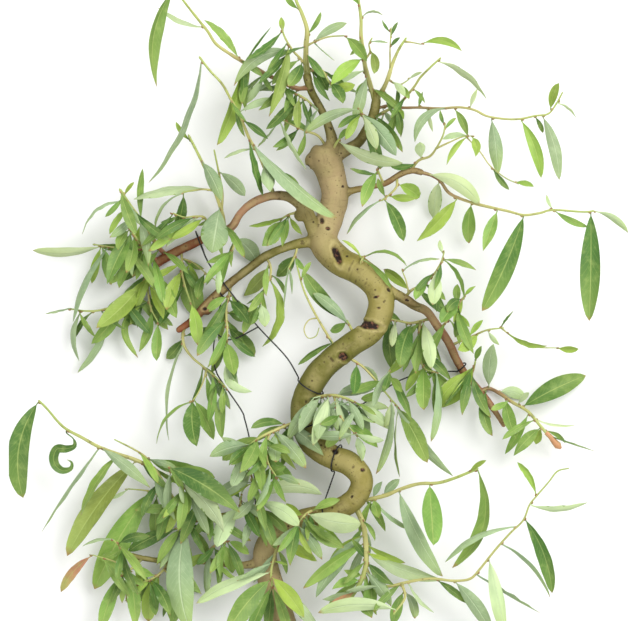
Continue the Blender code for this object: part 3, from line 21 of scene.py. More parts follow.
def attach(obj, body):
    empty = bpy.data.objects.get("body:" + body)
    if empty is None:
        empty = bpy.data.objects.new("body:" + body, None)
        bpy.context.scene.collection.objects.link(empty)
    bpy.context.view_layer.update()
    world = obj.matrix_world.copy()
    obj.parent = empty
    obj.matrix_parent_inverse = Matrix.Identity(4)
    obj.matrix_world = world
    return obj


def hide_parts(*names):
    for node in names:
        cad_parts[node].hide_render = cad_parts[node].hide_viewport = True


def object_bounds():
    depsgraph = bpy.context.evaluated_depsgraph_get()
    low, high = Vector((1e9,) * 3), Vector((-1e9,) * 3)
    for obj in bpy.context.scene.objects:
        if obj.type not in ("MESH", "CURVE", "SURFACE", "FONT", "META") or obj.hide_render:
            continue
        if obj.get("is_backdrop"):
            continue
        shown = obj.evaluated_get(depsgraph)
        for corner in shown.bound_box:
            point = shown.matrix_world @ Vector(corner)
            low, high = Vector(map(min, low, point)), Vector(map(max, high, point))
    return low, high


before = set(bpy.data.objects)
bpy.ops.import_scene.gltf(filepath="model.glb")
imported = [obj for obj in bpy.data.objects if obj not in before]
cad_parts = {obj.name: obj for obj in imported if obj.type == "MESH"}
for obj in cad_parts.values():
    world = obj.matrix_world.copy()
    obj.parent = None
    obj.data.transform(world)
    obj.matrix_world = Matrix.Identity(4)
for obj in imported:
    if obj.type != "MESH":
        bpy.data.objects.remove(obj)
log = logging.getLogger("willow")

Route = list[Vector]
Face = tuple[int, ...]
Shape = tuple[list[Vector], list[Face]]
Colour = tuple[float, float, float, float]
Number = float | int

# The layout grid
GRID = 0.0007
ORIGIN = (275, 597)
MM = 0.001

# How the pieces are spaced, as in the solids
SEAT_GAP = 0.35 * MM
CLEAR = 0.4 * MM
LOWEST = 1.6 * MM
STEM_LOWEST = 0.6 * MM
HIGHEST = 116 * MM
WOOD_STEP = 4.0 * MM
SHOOT_STEP = 3.5 * MM
TEST_STEP = 1.5 * MM
WIRE_RADIUS = 0.5
WIRE_STAND = 0.76 * MM
WIRE_SLACK = 0.28 * MM
WOOD_SLACK = 0.55 * MM
SHOOT_SLACK = 0.6 * MM
PUSHES = 4
WOOD_TEST_SIDES = 10
WINDING_PITCH = 2.6 * MM
WINDING_STEP = 32
WINDING_GAP = (WIRE_RADIUS + 0.75) * MM
SEED = 20
EXTRA_STEP = 4.2 * MM
EXTRA_GAP = 1.5 * MM
EXTRA_SLOPE = (90, 32, 24)
EXTRA_REACH = (24, 52)
EXTRA_PLUMPNESS = (0.15, 0.25)
EXTRA_BOW = (-3, 3)
EXTRA_SHARES = (0.4, 0.6, 0.8, 1.0)
FAR = 1e9

# Leaf form, as in the solids
STALK_HALF = 0.5 * MM
STALK_THICK = 0.9 * MM
BLADE_THICK = 0.9 * MM
FOLD = 0.2
BROAD = 0.19
SEEN_ON_EDGE = 0.4
EDGE_WIDTH = 0.75
SEEN_END_ON = 0.26
STEEPEST = 0.9
SHORT_LEAF = 28 * MM
MIDDLE_LEAF = 54 * MM
WIDEST_LEAF = 15.5 * MM
DEEPEST = 30 * MM
LONG_STALK = 5.0 * MM
TRIES = 160
CROSSING_TRY = 90
MEETING_SHARE = 0.14
LEAF_OFF_WOOD = 1.2 * MM
JOINED_POINTS = 3
FREE_POINTS = 4

# The view
PHOTO_SIZE = (633, 621)
CAMERA_HEIGHT = 5.0
FOCUS_HEIGHT = 40 * MM
SENSOR_WIDTH = 36.0


class Tone(Enum):
    """The look of a leaf."""

    BRIGHT = "B"
    MID = "M"
    DARK = "D"
    OLIVE = "O"
    GREY = "G"
    PALE = "P"
    DRY = "R"

    @property
    def shows_underside(self) -> bool:
        """Whether the leaf is turned so that its grey or pale underside is seen."""
        return self in (Tone.GREY, Tone.PALE)


class Leaf(NamedTuple):
    """A leaf on the grid: base, tip, seen width, tone letter, sideways bow, and 1 if it lies over others."""

    x: float
    y: float
    tip_x: float
    tip_y: float
    width: float
    tone: str
    bow: float = 0
    side: int = 0

    @property
    def length(self) -> float:
        """How long it looks, in metres."""
        return math.hypot(self.tip_x - self.x, self.tip_y - self.y) * GRID

    @property
    def words(self) -> str:
        """Its base and tip in words, which seed its random draws."""
        return f"{self.x:g} {self.y:g} {self.tip_x:g} {self.tip_y:g}"


class Stem(NamedTuple):
    """A green stem: its route on the grid, its radii, how far it rises towards its end, and its arch."""

    route: tuple[tuple[float, float], ...]
    start: float
    end: float
    rise: float
    arch: float = 0


class Shoot(NamedTuple):
    """Stems, the first of which springs from the wood and each other from an earlier one, and the leaves."""

    stems: list[Stem]
    leaves: list[Leaf]

    @classmethod
    def read(cls, rows: str) -> "Shoot":
        """Reads a shoot from its rows.

        Args:
            rows: The rows of its stems, which have a colon, and of its leaves.

        Returns:
            The shoot.
        """
        shoot = cls([], [])
        for row in rows.split(";"):
            start, colon, points = row.partition(":")
            values = start.split()
            if colon:
                route = tuple(tuple(map(float, point.split())) for point in points.split(","))
                shoot.stems.append(Stem(route, *map(float, values)))
            else:
                shoot.leaves.append(Leaf(*map(float, values[:5]), values[5], *map(float, values[6:])))
        return shoot


# The stem from its top to its cut end, and the woody side branches, each from inside the wood that it leaves:
# x, y, height, radius
BRANCHES = {
    "stem": (
        (326, 146, 16.0, 8.0), (325, 156, 15.0, 11.3), (331, 174, 11.5, 10.2), (335, 195, 9.2, 9.8),
        (330, 217, 8.2, 9.6), (323, 240, 12.0, 10.4), (339, 260, 19.0, 10.1), (360, 271, 25.0, 9.8),
        (377, 287, 29.0, 9.5), (381, 308, 30.0, 9.3), (371, 331, 31.0, 8.8), (351, 345, 33.0, 8.6),
        (326, 365, 30.0, 8.7), (311, 385, 26.0, 9.0), (304, 405, 22.0, 9.0), (304, 426, 20.0, 8.8),
        (314, 446, 23.0, 8.5), (332, 457, 27.0, 8.5), (351, 465, 31.0, 8.6), (362, 481, 31.0, 8.0),
        (354, 500, 27.0, 7.7), (331, 513, 22.0, 7.6), (302, 522, 16.0, 7.8), (277, 533, 11.5, 8.0),
        (265, 553, 9.2, 8.4), (268, 576, 7.6, 8.5), (275, 597, 7.3, 8.5), (283, 621, 8.6, 8.4),
        (289, 648, 11.0, 8.2),
    ),
    "arching": (
        (321, 243, 12, 6.0), (313, 228, 15, 5.2), (306, 211, 19, 4.6), (292, 198, 23, 3.9),
        (275, 195, 25, 3.3), (255, 201, 24, 2.9), (240, 213, 21, 2.8), (232, 226, 17, 2.8),
        (219, 233, 13, 2.9), (204, 238, 9.5, 3.0), (180, 249, 5.0, 3.5), (156, 262, 2.9, 3.6),
    ),
    "left": (
        (318, 240, 12, 5.0), (300, 243, 14, 3.6), (286, 247, 15, 2.9), (265, 256, 15, 3.1),
        (249, 268, 13, 3.0), (231, 282, 11.5, 3.2), (215, 296, 11, 3.3), (203, 308, 11, 3.3),
        (192, 320, 11, 2.8), (178, 330, 12, 2.4),
    ),
    "right": (
        (340, 194, 9, 4.0), (352, 190, 12, 2.6), (366, 187, 15, 2.1), (385, 183, 18, 2.1),
        (400, 174, 21, 2.2), (412, 170, 23, 2.4), (422, 172, 24, 2.2),
    ),
    "low_right": (
        (380, 284, 29, 5.0), (393, 292, 28, 3.6), (405, 299, 25, 3.5), (416, 306, 22, 3.3),
        (428, 312, 18, 3.0), (438, 326, 13, 3.1), (449, 342, 9.5, 3.0), (458, 361, 6.5, 2.9),
        (468, 377, 4.0, 2.8), (481, 391, 2.0, 2.6), (493, 407, 4.0, 2.3), (505, 426, 8, 1.9),
    ),
    "snag": ((407, 299, 25, 3.0), (413, 303, 26, 2.6), (420, 306, 28, 1.2)),
    "leader": (
        (328, 150, 15, 6.0), (332, 140, 19, 4.0), (326, 119, 24, 3.1), (318, 103, 28, 2.8),
        (311, 90, 31, 2.9), (307, 76, 34, 3.0),
    ),
    "fork": (
        (338, 154, 15, 5.0), (349, 148, 17, 4.0), (361, 139, 19, 3.6), (372, 118, 22, 3.5),
        (376, 103, 24, 3.4), (376, 92, 25, 2.7),
    ),
    "lower_left": (
        (272, 535, 11, 4.5), (258, 521, 12, 3.6), (244, 513, 13, 3.0), (226, 517, 13, 2.7),
        (208, 519, 12, 2.8), (188, 520, 11, 2.8),
    ),
    "bottom_left": (
        (266, 560, 9, 4.5), (250, 566, 9, 3.0), (230, 566, 9, 2.6), (205, 563, 9, 2.4),
        (180, 563, 10, 2.2), (158, 562, 12, 2.1), (140, 559, 14, 2.0), (124, 555, 16, 1.8),
    ),
}

# Swellings where shoots were pruned: x, y, height, radius
BURLS = (
    (314, 160, 15, 6.5), (336, 146, 17, 5.0), (300, 215, 19, 4.6), (380, 292, 30, 8.6),
    (206, 309, 11, 4.4),
)

# The green shoots, one a paragraph: its name, then its stems and leaves, with semicolons between them.
# A stem is its radii at both ends, its rise and perhaps its arch, a colon, and the grid points of its
# route. A leaf is its base, tip, width, tone letter, bow and side.
LAYOUT = """
shoot_top_left
1.7 0.8 18: 309 87, 297 88, 283 82, 268 75, 254 67, 245 63, 230 54, 216 44, 208 32, 200 22, 185 3, 175 -11;
176 -10 157 87 12 M -12; 203 28 158 8 6 P 3; 240 58 204 20 9 M -3; 246 60 270 28 2.5 D 2;
243 64 217 145 14 B 3; 290 86 284 112 5 D 1; 262 73 243 104 8 P 2

shoot_leader
2.4 0.9 14: 308 80, 306 62, 306 45, 307 30, 302 14, 297 3, 291 -14; 1 0.6 14: 306 66, 300 58, 293 51, 285 38,
281 26; 0.8 0.5 8: 306 46, 314 42, 328 37, 344 36; 1 0.6 6: 307 72, 314 69, 322 70, 328 80, 332 86;
292 52 234 86 12 G -11; 281 34 281 17 6 B; 287 46 269 117 12 O 2; 302 60 288 87 13 D 2; 283 31 246 60 8 D 4;
314 42 347 23 9 G 3; 344 37 367 61 12 M 2; 316 69 328 90 12 D; 327 82 343 104 12 D 2; 330 85 355 85 10 B -2;
306 36 321 12 5 M -2; 302 12 284 -8 6 M 2; 313 43 335 62 2.5 D; 321 68 333 77 3 D

shoot_knob_left
1.1 0.6 12: 327 147, 318 135, 305 130, 290 123, 275 116;
279 118 306 169 4 P -3; 298 127 276 150 6 D 2; 278 118 258 146 3 G 2; 308 131 296 158 6 M 2

shoot_leader_low
1 0.6 10: 323 113, 314 106, 306 99, 298 94;
318 109 304 136 5 G -2; 305 98 244 95 6 D -7; 299 95 299 129 9 O -2

shoot_left_arch
1.4 0.8 25: 274 196, 266 172, 258 153, 250 140, 244 126, 238 112, 230 98, 222 84, 210 71, 200 58;
201 60 149 183 7 G 9; 248 137 263 196 8 D -2; 255 150 224 158 4 P -3; 251 143 337 218 10 G -4 1;
263 163 270 192 14 P 2; 267 172 300 191 10 D 5; 240 112 275 98 8 P 2; 231 99 247 122 5 M -2

shoot_left_pair
1.6 0.9 30: 224 231, 222 215, 217 198, 211 182, 202 162, 189 136; 1 0.6 14: 221 212, 222 192, 219 175,
214 150; 0.8 0.5 4: 214 190, 204 189, 194 190, 183 192;
203 160 222 202 14 G 2; 220 172 245 196 12 G 2; 209 187 133 199 9 P -6; 221 205 212 253 28 G 0 1;
183 192 173 231 11 D 3; 184 191 154 226 3 G -6; 191 139 176 122 5 B 2

shoot_arch_middle
1 0.5 16: 206 238, 206 226, 204 217, 194 216, 184 217, 173 213;
203 219 167 238 9 G -2; 200 217 165 247 7 P -4; 178 215 160 222 5 D 2

shoot_tip_upright
1.7 1.1 30: 166 256, 156 245, 144 225, 131 207, 120 190;
141 220 142 168 6 M 3; 127 201 82 234 3 G -12; 136 214 116 215 2.5 P -2; 124 196 134 182 4 B 1

shoot_tip_left
1.3 0.8 22: 158 262, 146 251, 137 240, 130 229; 0.9 0.5 2: 145 249, 130 249, 112 247, 92 244;
130 229 118 250 10 M -3; 131 231 107 284 16 M -2; 134 236 126 273 12 M 2; 103 246 31 250 9 P 6;
101 246 110 286 13 M 2; 112 249 72 322 9 G -8

shoot_tip_down
1.3 0.6 10: 161 262, 148 274, 136 290, 120 303, 100 310, 84 311, 70 309; 0.9 0.5 8: 147 276, 147 292,
150 308, 157 322;
151 270 118 299 12 D 2; 142 281 96 328 20 B 3; 124 300 90 344 13 M 3; 82 311 78 361 6 G -9;
107 308 76 373 6 G 9; 149 300 137 358 7 M -21; 156 321 156 361 11 M; 149 273 176 318 16 M 2;
92 311 74 338 5 D -3; 71 309 44 314 2.5 G -1

shoot_hanging
1 0.6 9: 180 249, 181 260, 181 272, 185 288, 190 302; 0.6 0.4 4: 181 258, 192 262, 204 272, 216 281;
181 262 195 319 24 M 2; 190 302 197 346 14 B 2; 206 273 197 299 9 D -2; 182 270 166 310 13 B -2

shoot_arch_drop
1 0.6 7: 231 228, 234 238, 232 250, 224 258, 219 263;
235 236 257 263 18 G 3; 233 246 221 286 9 M -3; 220 261 218 295 7 P; 232 250 206 262 7 M 2

shoot_arch_inner
1.2 0.7 -3: 303 206, 296 212, 289 214, 282 218;
287 214 250 225 6 B 1; 283 218 262 246 16 M 2; 290 214 282 247 8 M; 295 212 301 234 6 B -1

shoot_left_upper
1 0.6 8: 297 243, 296 252, 292 261, 288 269;
296 252 276 276 14 D 2; 288 268 284 307 2.5 G; 295 255 306 270 6 M -2; 289 267 292 294 3 G

shoot_left_middle
1 0.6 9: 265 256, 270 265, 270 276, 264 290, 260 302;
270 265 243 296 14 O 2; 268 279 262 347 10 B 13; 260 301 265 327 12 P 1; 265 288 248 312 8 M 1

shoot_left_lower
1.2 0.6 14: 230 283, 229 293, 226 304, 226 318, 227 332, 226 346, 228 357;
228 301 249 324 12 D 2; 225 311 242 322 8 D 2; 224 320 197 356 13 D -3; 228 328 254 357 15 D 2;
227 340 234 375 15 M; 228 356 252 392 9 P -13; 228 296 207 312 9 M -2; 226 344 212 366 8 B -2

shoot_left_end
1.2 0.5 12: 184 326, 182 336, 184 347, 192 358, 203 367, 214 376, 226 388; 0.7 0.4 4: 206 370, 202 384,
196 396, 190 403;
182 338 165 359 12 D 2; 182 344 168 441 4 G -7; 204 369 190 405 5 D 1; 211 373 208 422 9 M 2;
193 400 197 446 18 D -3; 225 387 222 439 11 M -4; 191 402 156 444 6 M -8; 192 400 212 440 14 M 2;
201 364 215 375 4 D -1

shoot_tine_left
2 0.9 18: 375 98, 371 87, 368 77, 365 65, 363 50, 361 35, 361 20, 359 4, 356 -12; 0.8 0.5 7: 364 60, 370 52,
369 44, 372 38;
362 58 331 85 13 B -3; 366 70 328 88 8 P -2; 369 50 374 74 9 O 3; 369 80 356 98 6 M -2; 362 40 350 55 5 M 2;
360 8 347 -6 5 M -2; 369 43 388 43 2.5 G 2; 361 19 383 15 2.5 G 5

shoot_tine_right
1.9 0.8 6: 376 100, 383 89, 388 78, 392 65, 396 55, 400 47, 406 38; 0.7 0.4 12: 391 70, 390 50, 391 28;
0.7 0.4 5: 388 78, 394 83, 401 84, 408 80; 0.7 0.4 4: 404 41, 412 42, 421 44;
391 80 405 97 8 P 2; 400 83 409 99 6 M 1; 420 44 462 51 8 B 7; 407 80 422 72 3 P 1; 391 48 400 38 4 D 1;
390 36 398 22 4 D 1; 390 32 382 20 3 D 1

shoot_far_twig
1.1 0.6 24: 373 110, 383 106, 392 105, 403 107, 420 107, 440 108, 460 107, 475 110, 487 116, 505 119,
520 119, 535 116, 548 114, 556 104, 562 93;
448 108 415 142 9 G -10; 452 108 468 136 8 M 2; 427 108 433 131 4 P; 491 117 498 175 14 G 1;
521 119 541 178 11 B 4; 545 114 559 180 13 G 4; 550 111 558 84 9 B 2; 470 109 478 88 5 P 1;
399 107 404 119 6 B; 417 106 423 91 4 M; 538 116 543 133 5 D 1; 557 103 576 118 3 P 2

shoot_pale_twig
1.2 0.7 34: 371 119, 381 113, 391 108, 401 102, 414 87, 420 78, 430 68, 440 59;
438 60 486 100 6 P 5; 412 90 425 103 4 M 1

shoot_knob_right
1.2 0.8 18: 368 127, 364 117, 360 109;
359 109 305 133 9 G -5; 361 112 337 129 7 D -2; 362 114 346 140 10 B -2; 362 111 377 151 12 P 1;
362 111 396 156 16 G 2; 363 111 398 148 7 M 4

shoot_knob_front
1.1 0.8 14: 333 153, 335 145, 339 139;
338 140 403 163 12 P -6 1; 337 142 350 127 6 M 1

shoot_right_long
1.3 0.7 22: 418 171, 432 175, 441 181, 450 193, 468 201, 486 206, 508 211, 524 215, 540 213, 553 210,
583 212, 593 211;
427 173 480 205 15 P 8 1; 440 180 434 218 14 P -1; 457 197 417 241 14 B 2; 474 203 470 243 14 M -2;
493 207 483 251 12 M; 525 215 482 311 20 D 3; 590 211 589 321 20 D 1; 556 210 588 227 7 M -2;
592 213 628 233 7 P 4; 553 209 548 196 4 P 1

shoot_right_upper
1.1 0.5 26: 411 170, 419 160, 430 156, 437 147, 443 135, 445 124; 0.7 0.4 6: 436 149, 450 142, 462 137,
471 136; 0.5 0.4 5: 466 137, 480 152, 490 166, 505 178, 518 184;
421 159 420 142 11 P; 469 136 443 140 7 P -3; 470 136 475 157 9 B 3; 468 138 447 165 6 B -4;
491 167 509 190 6 D -1; 516 183 533 187 6 B 1; 444 126 440 110 4 D 1; 444 130 456 118 4 M 1

shoot_right_lower
1 0.6 0: 397 176, 397 186, 390 194, 382 200;
397 180 420 197 14 B 2; 384 199 404 241 13 D 3; 388 196 417 198 8 B -1; 382 200 347 234 3 G -5;
386 197 378 178 6 M 1

shoot_right_base
1 0.7 9: 384 184, 381 177, 378 170;
378 171 362 207 12 M -2 1; 379 171 391 158 6 D 1; 380 174 350 168 5 D 2

shoot_stem_arc
0.9 0.6 6: 360 270, 361 262, 364 256;
364 257 407 266 4 M 9; 362 260 391 288 4 M 4; 362 259 342 240 4 B -2

shoot_low_base
1.1 0.5 20: 404 299, 412 290, 424 284, 434 274, 441 262, 444 252; 0.6 0.4 8: 409 293, 406 280, 402 270;
410 292 384 269 10 B -1; 430 278 415 300 10 M -2; 437 270 432 305 14 P 1; 442 259 464 299 4 M 7;
403 272 440 259 3 G 6; 425 283 446 300 8 M 1; 444 254 440 240 5 P 1

shoot_low_snag
1 0.6 16: 440 330, 450 318, 458 306, 464 297;
461 301 441 323 14 M -2; 463 298 447 312 10 D -3; 459 305 458 284 8 M 1; 453 314 470 327 6 B 1;
464 297 476 286 4 B 1

shoot_low_inner
1.1 0.6 8: 432 318, 422 321, 411 323, 399 321, 387 318; 0.9 0.5 6: 421 321, 419 338, 420 355, 425 369,
436 372;
412 324 400 367 18 D -3; 419 331 416 374 12 M -1; 423 323 431 369 14 P 2 1; 388 318 394 371 14 D -3;
396 321 392 347 8 P; 422 366 424 410 16 M; 435 372 436 417 11 M 2; 436 372 430 441 4 G 6;
424 367 406 392 8 B -2; 402 322 384 309 7 M 1

shoot_low_middle
1 0.7 14: 470 380, 474 371, 476 362;
475 365 440 409 18 B 3; 473 372 436 412 14 B -6; 476 363 482 346 6 M 1

shoot_low_outer
1 0.5 16: 451 346, 462 341, 474 336, 488 330, 504 328; 0.5 0.4 2: 502 328, 516 339, 536 347, 557 348;
480 333 458 350 12 B 2; 508 333 548 346 5 B -4; 555 348 579 349 7 B -1; 472 337 484 320 6 B 1;
488 330 500 345 5 P -1; 500 328 514 311 3 D

shoot_low_end
1.4 1 18: 481 392, 490 389, 501 394, 514 403, 529 412, 541 426, 552 439; 1.2 2.6 1: 547 433, 552 438,
556 443, 559 446;
490 391 494 344 15 G 2; 498 392 526 399 12 P 4; 524 409 588 376 20 D 2; 538 420 576 426 3 P -2;
487 391 492 437 11 D -6; 506 398 517 439 13 M -2; 541 427 514 456 12 M -2; 540 428 538 445 10 B;
545 430 567 444 4 M 3; 550 435 594 451 3 D -1; 511 402 490 409 7 M 1; 517 405 530 393 6 P 1

shoot_stem_twig
1.1 0.6 10: 340 355, 325 331, 312 308, 303 288, 297 266; 0.5 0.35 3: 318 318, 309 320, 304 329, 308 338,
316 336, 319 328;
332 343 298 365 6 D -2; 300 280 311 262 5 M 1

shoot_knee
1.2 0.9 -6: 356 341, 352 330, 347 321;
348 323 304 272 15 D 4; 351 328 313 293 11 G -3; 348 322 330 330 9 M 2

shoot_scar
1.1 0.6 8: 338 352, 351 359, 362 366, 372 376, 382 388, 390 398, 398 407; 0.6 0.4 6: 383 389, 388 380,
390 370;
354 361 354 394 11 D; 360 365 378 382 4 G 3; 399 406 427 462 18 M 2; 394 402 453 477 6 G -6;
391 399 376 474 4 G 5; 397 405 401 478 4 P -3; 390 371 383 392 8 D 1; 389 376 402 392 9 M 1;
384 390 362 400 9 M 2; 393 401 384 428 10 P 2; 350 358 340 374 6 G 1

shoot_front_left
1.4 0.8 16 10: 304 418, 291 424, 275 430, 259 438, 245 449; 0.9 0.5 6: 270 432, 266 446, 268 462, 276 476;
247 446 222 437 9 G 2; 258 438 240 472 14 M 2; 268 446 262 474 10 G; 274 431 306 468 14 G 2;
280 428 276 462 14 G -2; 287 425 324 456 13 G 3; 284 426 250 428 9 D -5; 262 436 222 461 14 M -3;
250 444 210 456 14 G -3; 246 448 232 486 14 G 2; 253 442 262 492 12 M 2; 268 455 294 490 14 M 2;
294 422 306 446 13 G 2; 272 470 254 490 9 B 2; 276 475 300 484 8 G 2; 266 446 290 452 8 M 2

shoot_front_right
1.3 0.7 18 8: 306 400, 318 397, 332 395, 346 398, 360 405; 0.9 0.5 6: 334 396, 338 410, 346 424, 356 434;
322 396 300 432 14 G -2; 330 396 318 440 16 G -2; 336 397 374 390 13 G 3; 342 398 340 442 16 G;
350 400 368 440 14 G 2; 357 403 392 431 12 P 2; 360 405 389 409 9 P 2; 352 401 358 424 12 D 1;
319 397 288 440 13 G -3; 346 424 378 448 12 M 2; 356 433 362 462 10 P 1; 349 427 326 448 11 M -2;
340 414 320 424 9 D 1; 355 433 384 440 7 P -2

shoot_long_left
1.9 0.8 26: 191 520, 181 512, 170 497, 162 484, 153 470, 136 461, 116 454, 98 447, 82 438, 63 427, 47 409,
39 401; 0.9 0.5 8: 155 473, 146 459, 133 450, 114 440; 0.8 0.5 -6: 169 496, 158 496, 147 492, 127 490;
39 402 23 498 22 D -12; 68 430 56 464 9 D 17; 97 447 41 532 4 G -3; 101 448 150 488 12 G 2 1;
117 454 80 516 9 M -4; 137 462 66 557 20 O -5; 146 458 200 469 14 M -3; 150 492 93 591 26 M -4;
176 506 160 534 9 M -2; 163 485 182 470 7 B 1; 128 490 108 500 4 P 1

shoot_left_inner
1.2 0.7 22: 216 518, 207 506, 191 494, 178 481, 168 467;
169 468 240 512 22 D 4 1; 180 484 224 531 18 P 6 1; 170 470 215 478 11 M 3; 190 493 160 508 9 G 2;
184 488 188 514 8 M 1; 205 504 236 494 9 M 2

shoot_left_under
1.1 0.7 2: 194 520, 186 526, 177 530;
185 526 190 632 28 G -9; 178 530 127 553 14 D -3; 181 528 156 566 10 M -2; 187 525 208 560 10 M 2

shoot_left_crook
1.1 0.7 14: 243 513, 240 506, 241 497;
239 506 217 547 18 P -4 1; 241 500 232 482 9 D 2; 241 498 250 470 6 P 1; 241 502 262 520 9 G 2

shoot_bottom_tip
1.1 0.7 6: 142 559, 134 567, 126 573, 118 577; 0.6 0.4 4: 129 571, 112 562, 92 556;
120 576 100 630 14 M -2; 128 572 134 630 14 M 3; 93 556 60 593 10 R -4; 122 575 110 604 7 D 1;
132 568 142 588 6 B 1

shoot_bottom_middle
1.1 0.7 6: 168 563, 162 572, 153 579, 143 583; 0.7 0.5 4: 163 570, 172 582, 178 596;
144 583 126 604 10 R -3; 160 574 147 624 17 B -3; 154 578 118 590 9 R 3; 164 571 200 596 12 D 3;
150 580 170 616 12 D 3; 178 596 170 628 10 M 1; 156 577 132 566 9 M 2

shoot_bottom_end
1 0.6 8: 130 557, 122 550, 113 541;
113 541 82 547 4 G -4; 119 547 150 536 10 D 3; 120 549 98 560 8 M 2

shoot_bottom_inner
1 0.6 8: 206 563, 208 553, 215 546, 226 542;
209 551 207 602 8 G -2; 216 546 196 566 8 D 1; 222 543 232 575 13 M 2; 226 542 242 582 9 D 2;
225 542 250 556 9 M 2; 213 547 218 590 8 D 2

shoot_stem_front
1.2 0.8 14 7: 273 534, 277 544, 274 558, 271 572, 272 587;
271 573 196 604 13 P -5; 270 580 225 636 22 M -4; 271 586 267 640 11 D; 273 577 304 617 16 B 2;
273 584 321 634 12 P 3; 272 587 246 646 12 M -2; 272 588 290 640 10 M 2; 274 562 288 566 3 B 1

shoot_stem_middle
1.2 0.7 20: 258 521, 257 510, 258 498, 254 486, 250 471;
256 499 322 495 15 P 10; 257 503 299 526 15 P 5; 258 509 287 534 10 M 3; 255 488 286 466 11 M 3;
253 482 218 496 13 G -3; 251 474 236 452 10 M 2; 251 474 272 452 9 G 2; 257 494 232 520 10 G 2

shoot_stem_centre
1.1 0.7 12 8: 322 515, 313 511, 304 516, 297 525;
307 514 361 523 20 P -3 1; 299 521 290 566 12 D -2; 301 518 344 548 13 M -3; 311 512 340 500 9 M 2;
297 525 322 560 11 G 2; 304 516 286 504 9 B 2; 298 523 272 546 9 G 2

shoot_low_long
1.6 1 14: 349 506, 364 501, 385 496, 402 489, 419 484, 438 483, 455 478, 477 469;
432 483 433 544 21 M; 474 471 452 568 13 M 20; 386 495 400 480 9 G 1; 374 499 379 518 10 M;
399 491 443 577 15 G -4; 368 500 415 531 4 G -4; 366 500 384 482 7 G 1; 473 471 486 460 5 B 1

shoot_low_right
2.1 1.6 4: 354 503, 359 514, 364 527, 366 546, 366 566, 360 584, 348 602; 1.2 0.5 20: 366 568, 374 582,
387 587, 410 582, 432 579, 453 581, 470 579, 480 569, 495 550, 510 533, 523 520, 529 505, 536 496, 548 482,
557 471, 568 468; 1 0.7 8: 402 584, 405 598, 394 614;
365 538 316 598 16 G -4; 366 548 303 589 12 M -3; 397 611 318 613 13 P -7; 364 572 391 606 14 G 2;
366 562 394 585 10 D -2; 366 553 444 581 13 P -4; 405 592 394 626 12 M -2; 405 590 414 618 10 G 3;
408 583 434 613 4 P -2; 436 579 467 604 8 D 1; 454 581 493 636 15 G 3; 490 556 505 636 14 P 1;
476 574 540 613 4 G -2; 500 544 550 597 3 G 6; 514 529 445 562 4 G -10; 523 519 552 593 13 D 6;
530 503 587 502 9 P -7; 534 498 517 462 6 B -4; 361 582 332 589 10 M -3; 352 596 372 618 12 D 2;
364 576 344 570 8 M 1; 355 592 330 604 8 R 2; 366 558 350 540 7 D -1
"""

PARAGRAPHS = [block.split("\n", 1) for block in LAYOUT.strip().split("\n\n")]
SHOOTS = {name: Shoot.read(rows) for name, rows in PARAGRAPHS}


def place(x: float, y: float, height: float) -> Vector:
    """The point in metres of a grid point, at a height in millimetres over the table."""
    return Vector(((x - ORIGIN[0]) * GRID, (ORIGIN[1] - y) * GRID, height * MM))


def grid_of(point: Vector) -> tuple[float, float]:
    """The grid point under a point in metres."""
    return point.x / GRID + ORIGIN[0], ORIGIN[1] - point.y / GRID


def lengths_of(points: Sequence[Vector]) -> list[float]:
    """The length along a row of points, at each of them."""
    sums = [0.0]
    for start, end in zip(points, points[1:]):
        sums.append(sums[-1] + (end.xyz - start.xyz).length)
    return sums


def evenly(points: Route, spacing: float) -> Route:
    """Points about a given distance apart along a row of 4D points (x, y, z, radius).

    Args:
        points: The row.
        spacing: The distance in metres.

    Returns:
        The new points, with the first and last kept.
    """
    sums = lengths_of(points)
    count = max(2, round(sums[-1] / spacing))
    found = []
    index = 0
    for step in range(count + 1):
        wanted = sums[-1] * step / count
        while index < len(points) - 2 and sums[index + 1] < wanted:
            index += 1
        span = max(sums[index + 1] - sums[index], 1e-9)
        found.append(points[index].lerp(points[index + 1], (wanted - sums[index]) / span))
    return found


def thinned(points: Route, slack: float) -> Route:
    """The fewest of the points that keep every other one within a slack of the line through them.

    Args:
        points: The row of 4D points.
        slack: The farthest that a dropped point may lie from the line.

    Returns:
        The points kept.
    """
    if len(points) < 3:
        return points
    start, end = points[0], points[-1]
    run = end - start
    worst, index = 0.0, 0
    for step in range(1, len(points) - 1):
        share = max(0.0, min(1.0, (points[step] - start).dot(run) / run.length_squared))
        gap = (points[step] - start.lerp(end, share)).length
        if gap > worst:
            worst, index = gap, step
    if worst <= slack:
        return [start, end]
    return thinned(points[:index + 1], slack)[:-1] + thinned(points[index:], slack)


def smooth(points: Route, spacing: float) -> Route:
    """A smooth curve through 4D points.

    Args:
        points: The points that it passes through.
        spacing: The distance between the points of the curve.

    Returns:
        The points of the curve.
    """
    steps = 12
    padded = [2 * points[0] - points[1], *points, 2 * points[-1] - points[-2]]
    fine = []
    for before, start, end, after in zip(padded, padded[1:], padded[2:], padded[3:]):
        for step in range(steps):
            t = step / steps
            slope = (end - before) * t
            bend = (2 * before - 5 * start + 4 * end - after) * t * t
            twist = (3 * start - before - 3 * end + after) * t**3
            fine.append(0.5 * (2 * start + slope + bend + twist))
    fine.append(points[-1])
    return evenly(fine, spacing)


def routed(rows: Sequence[tuple[float, float, float, float]], spacing: float) -> Route:
    """A smooth route through rows of x, y, height and radius.

    Args:
        rows: The rows, on the grid and in millimetres.
        spacing: The distance between the points of the route.

    Returns:
        The 4D points of the route.
    """
    points = []
    for x, y, height, radius in rows:
        point = place(x, y, height)
        points.append(Vector((*point, radius * MM)))
    return smooth(points, spacing)


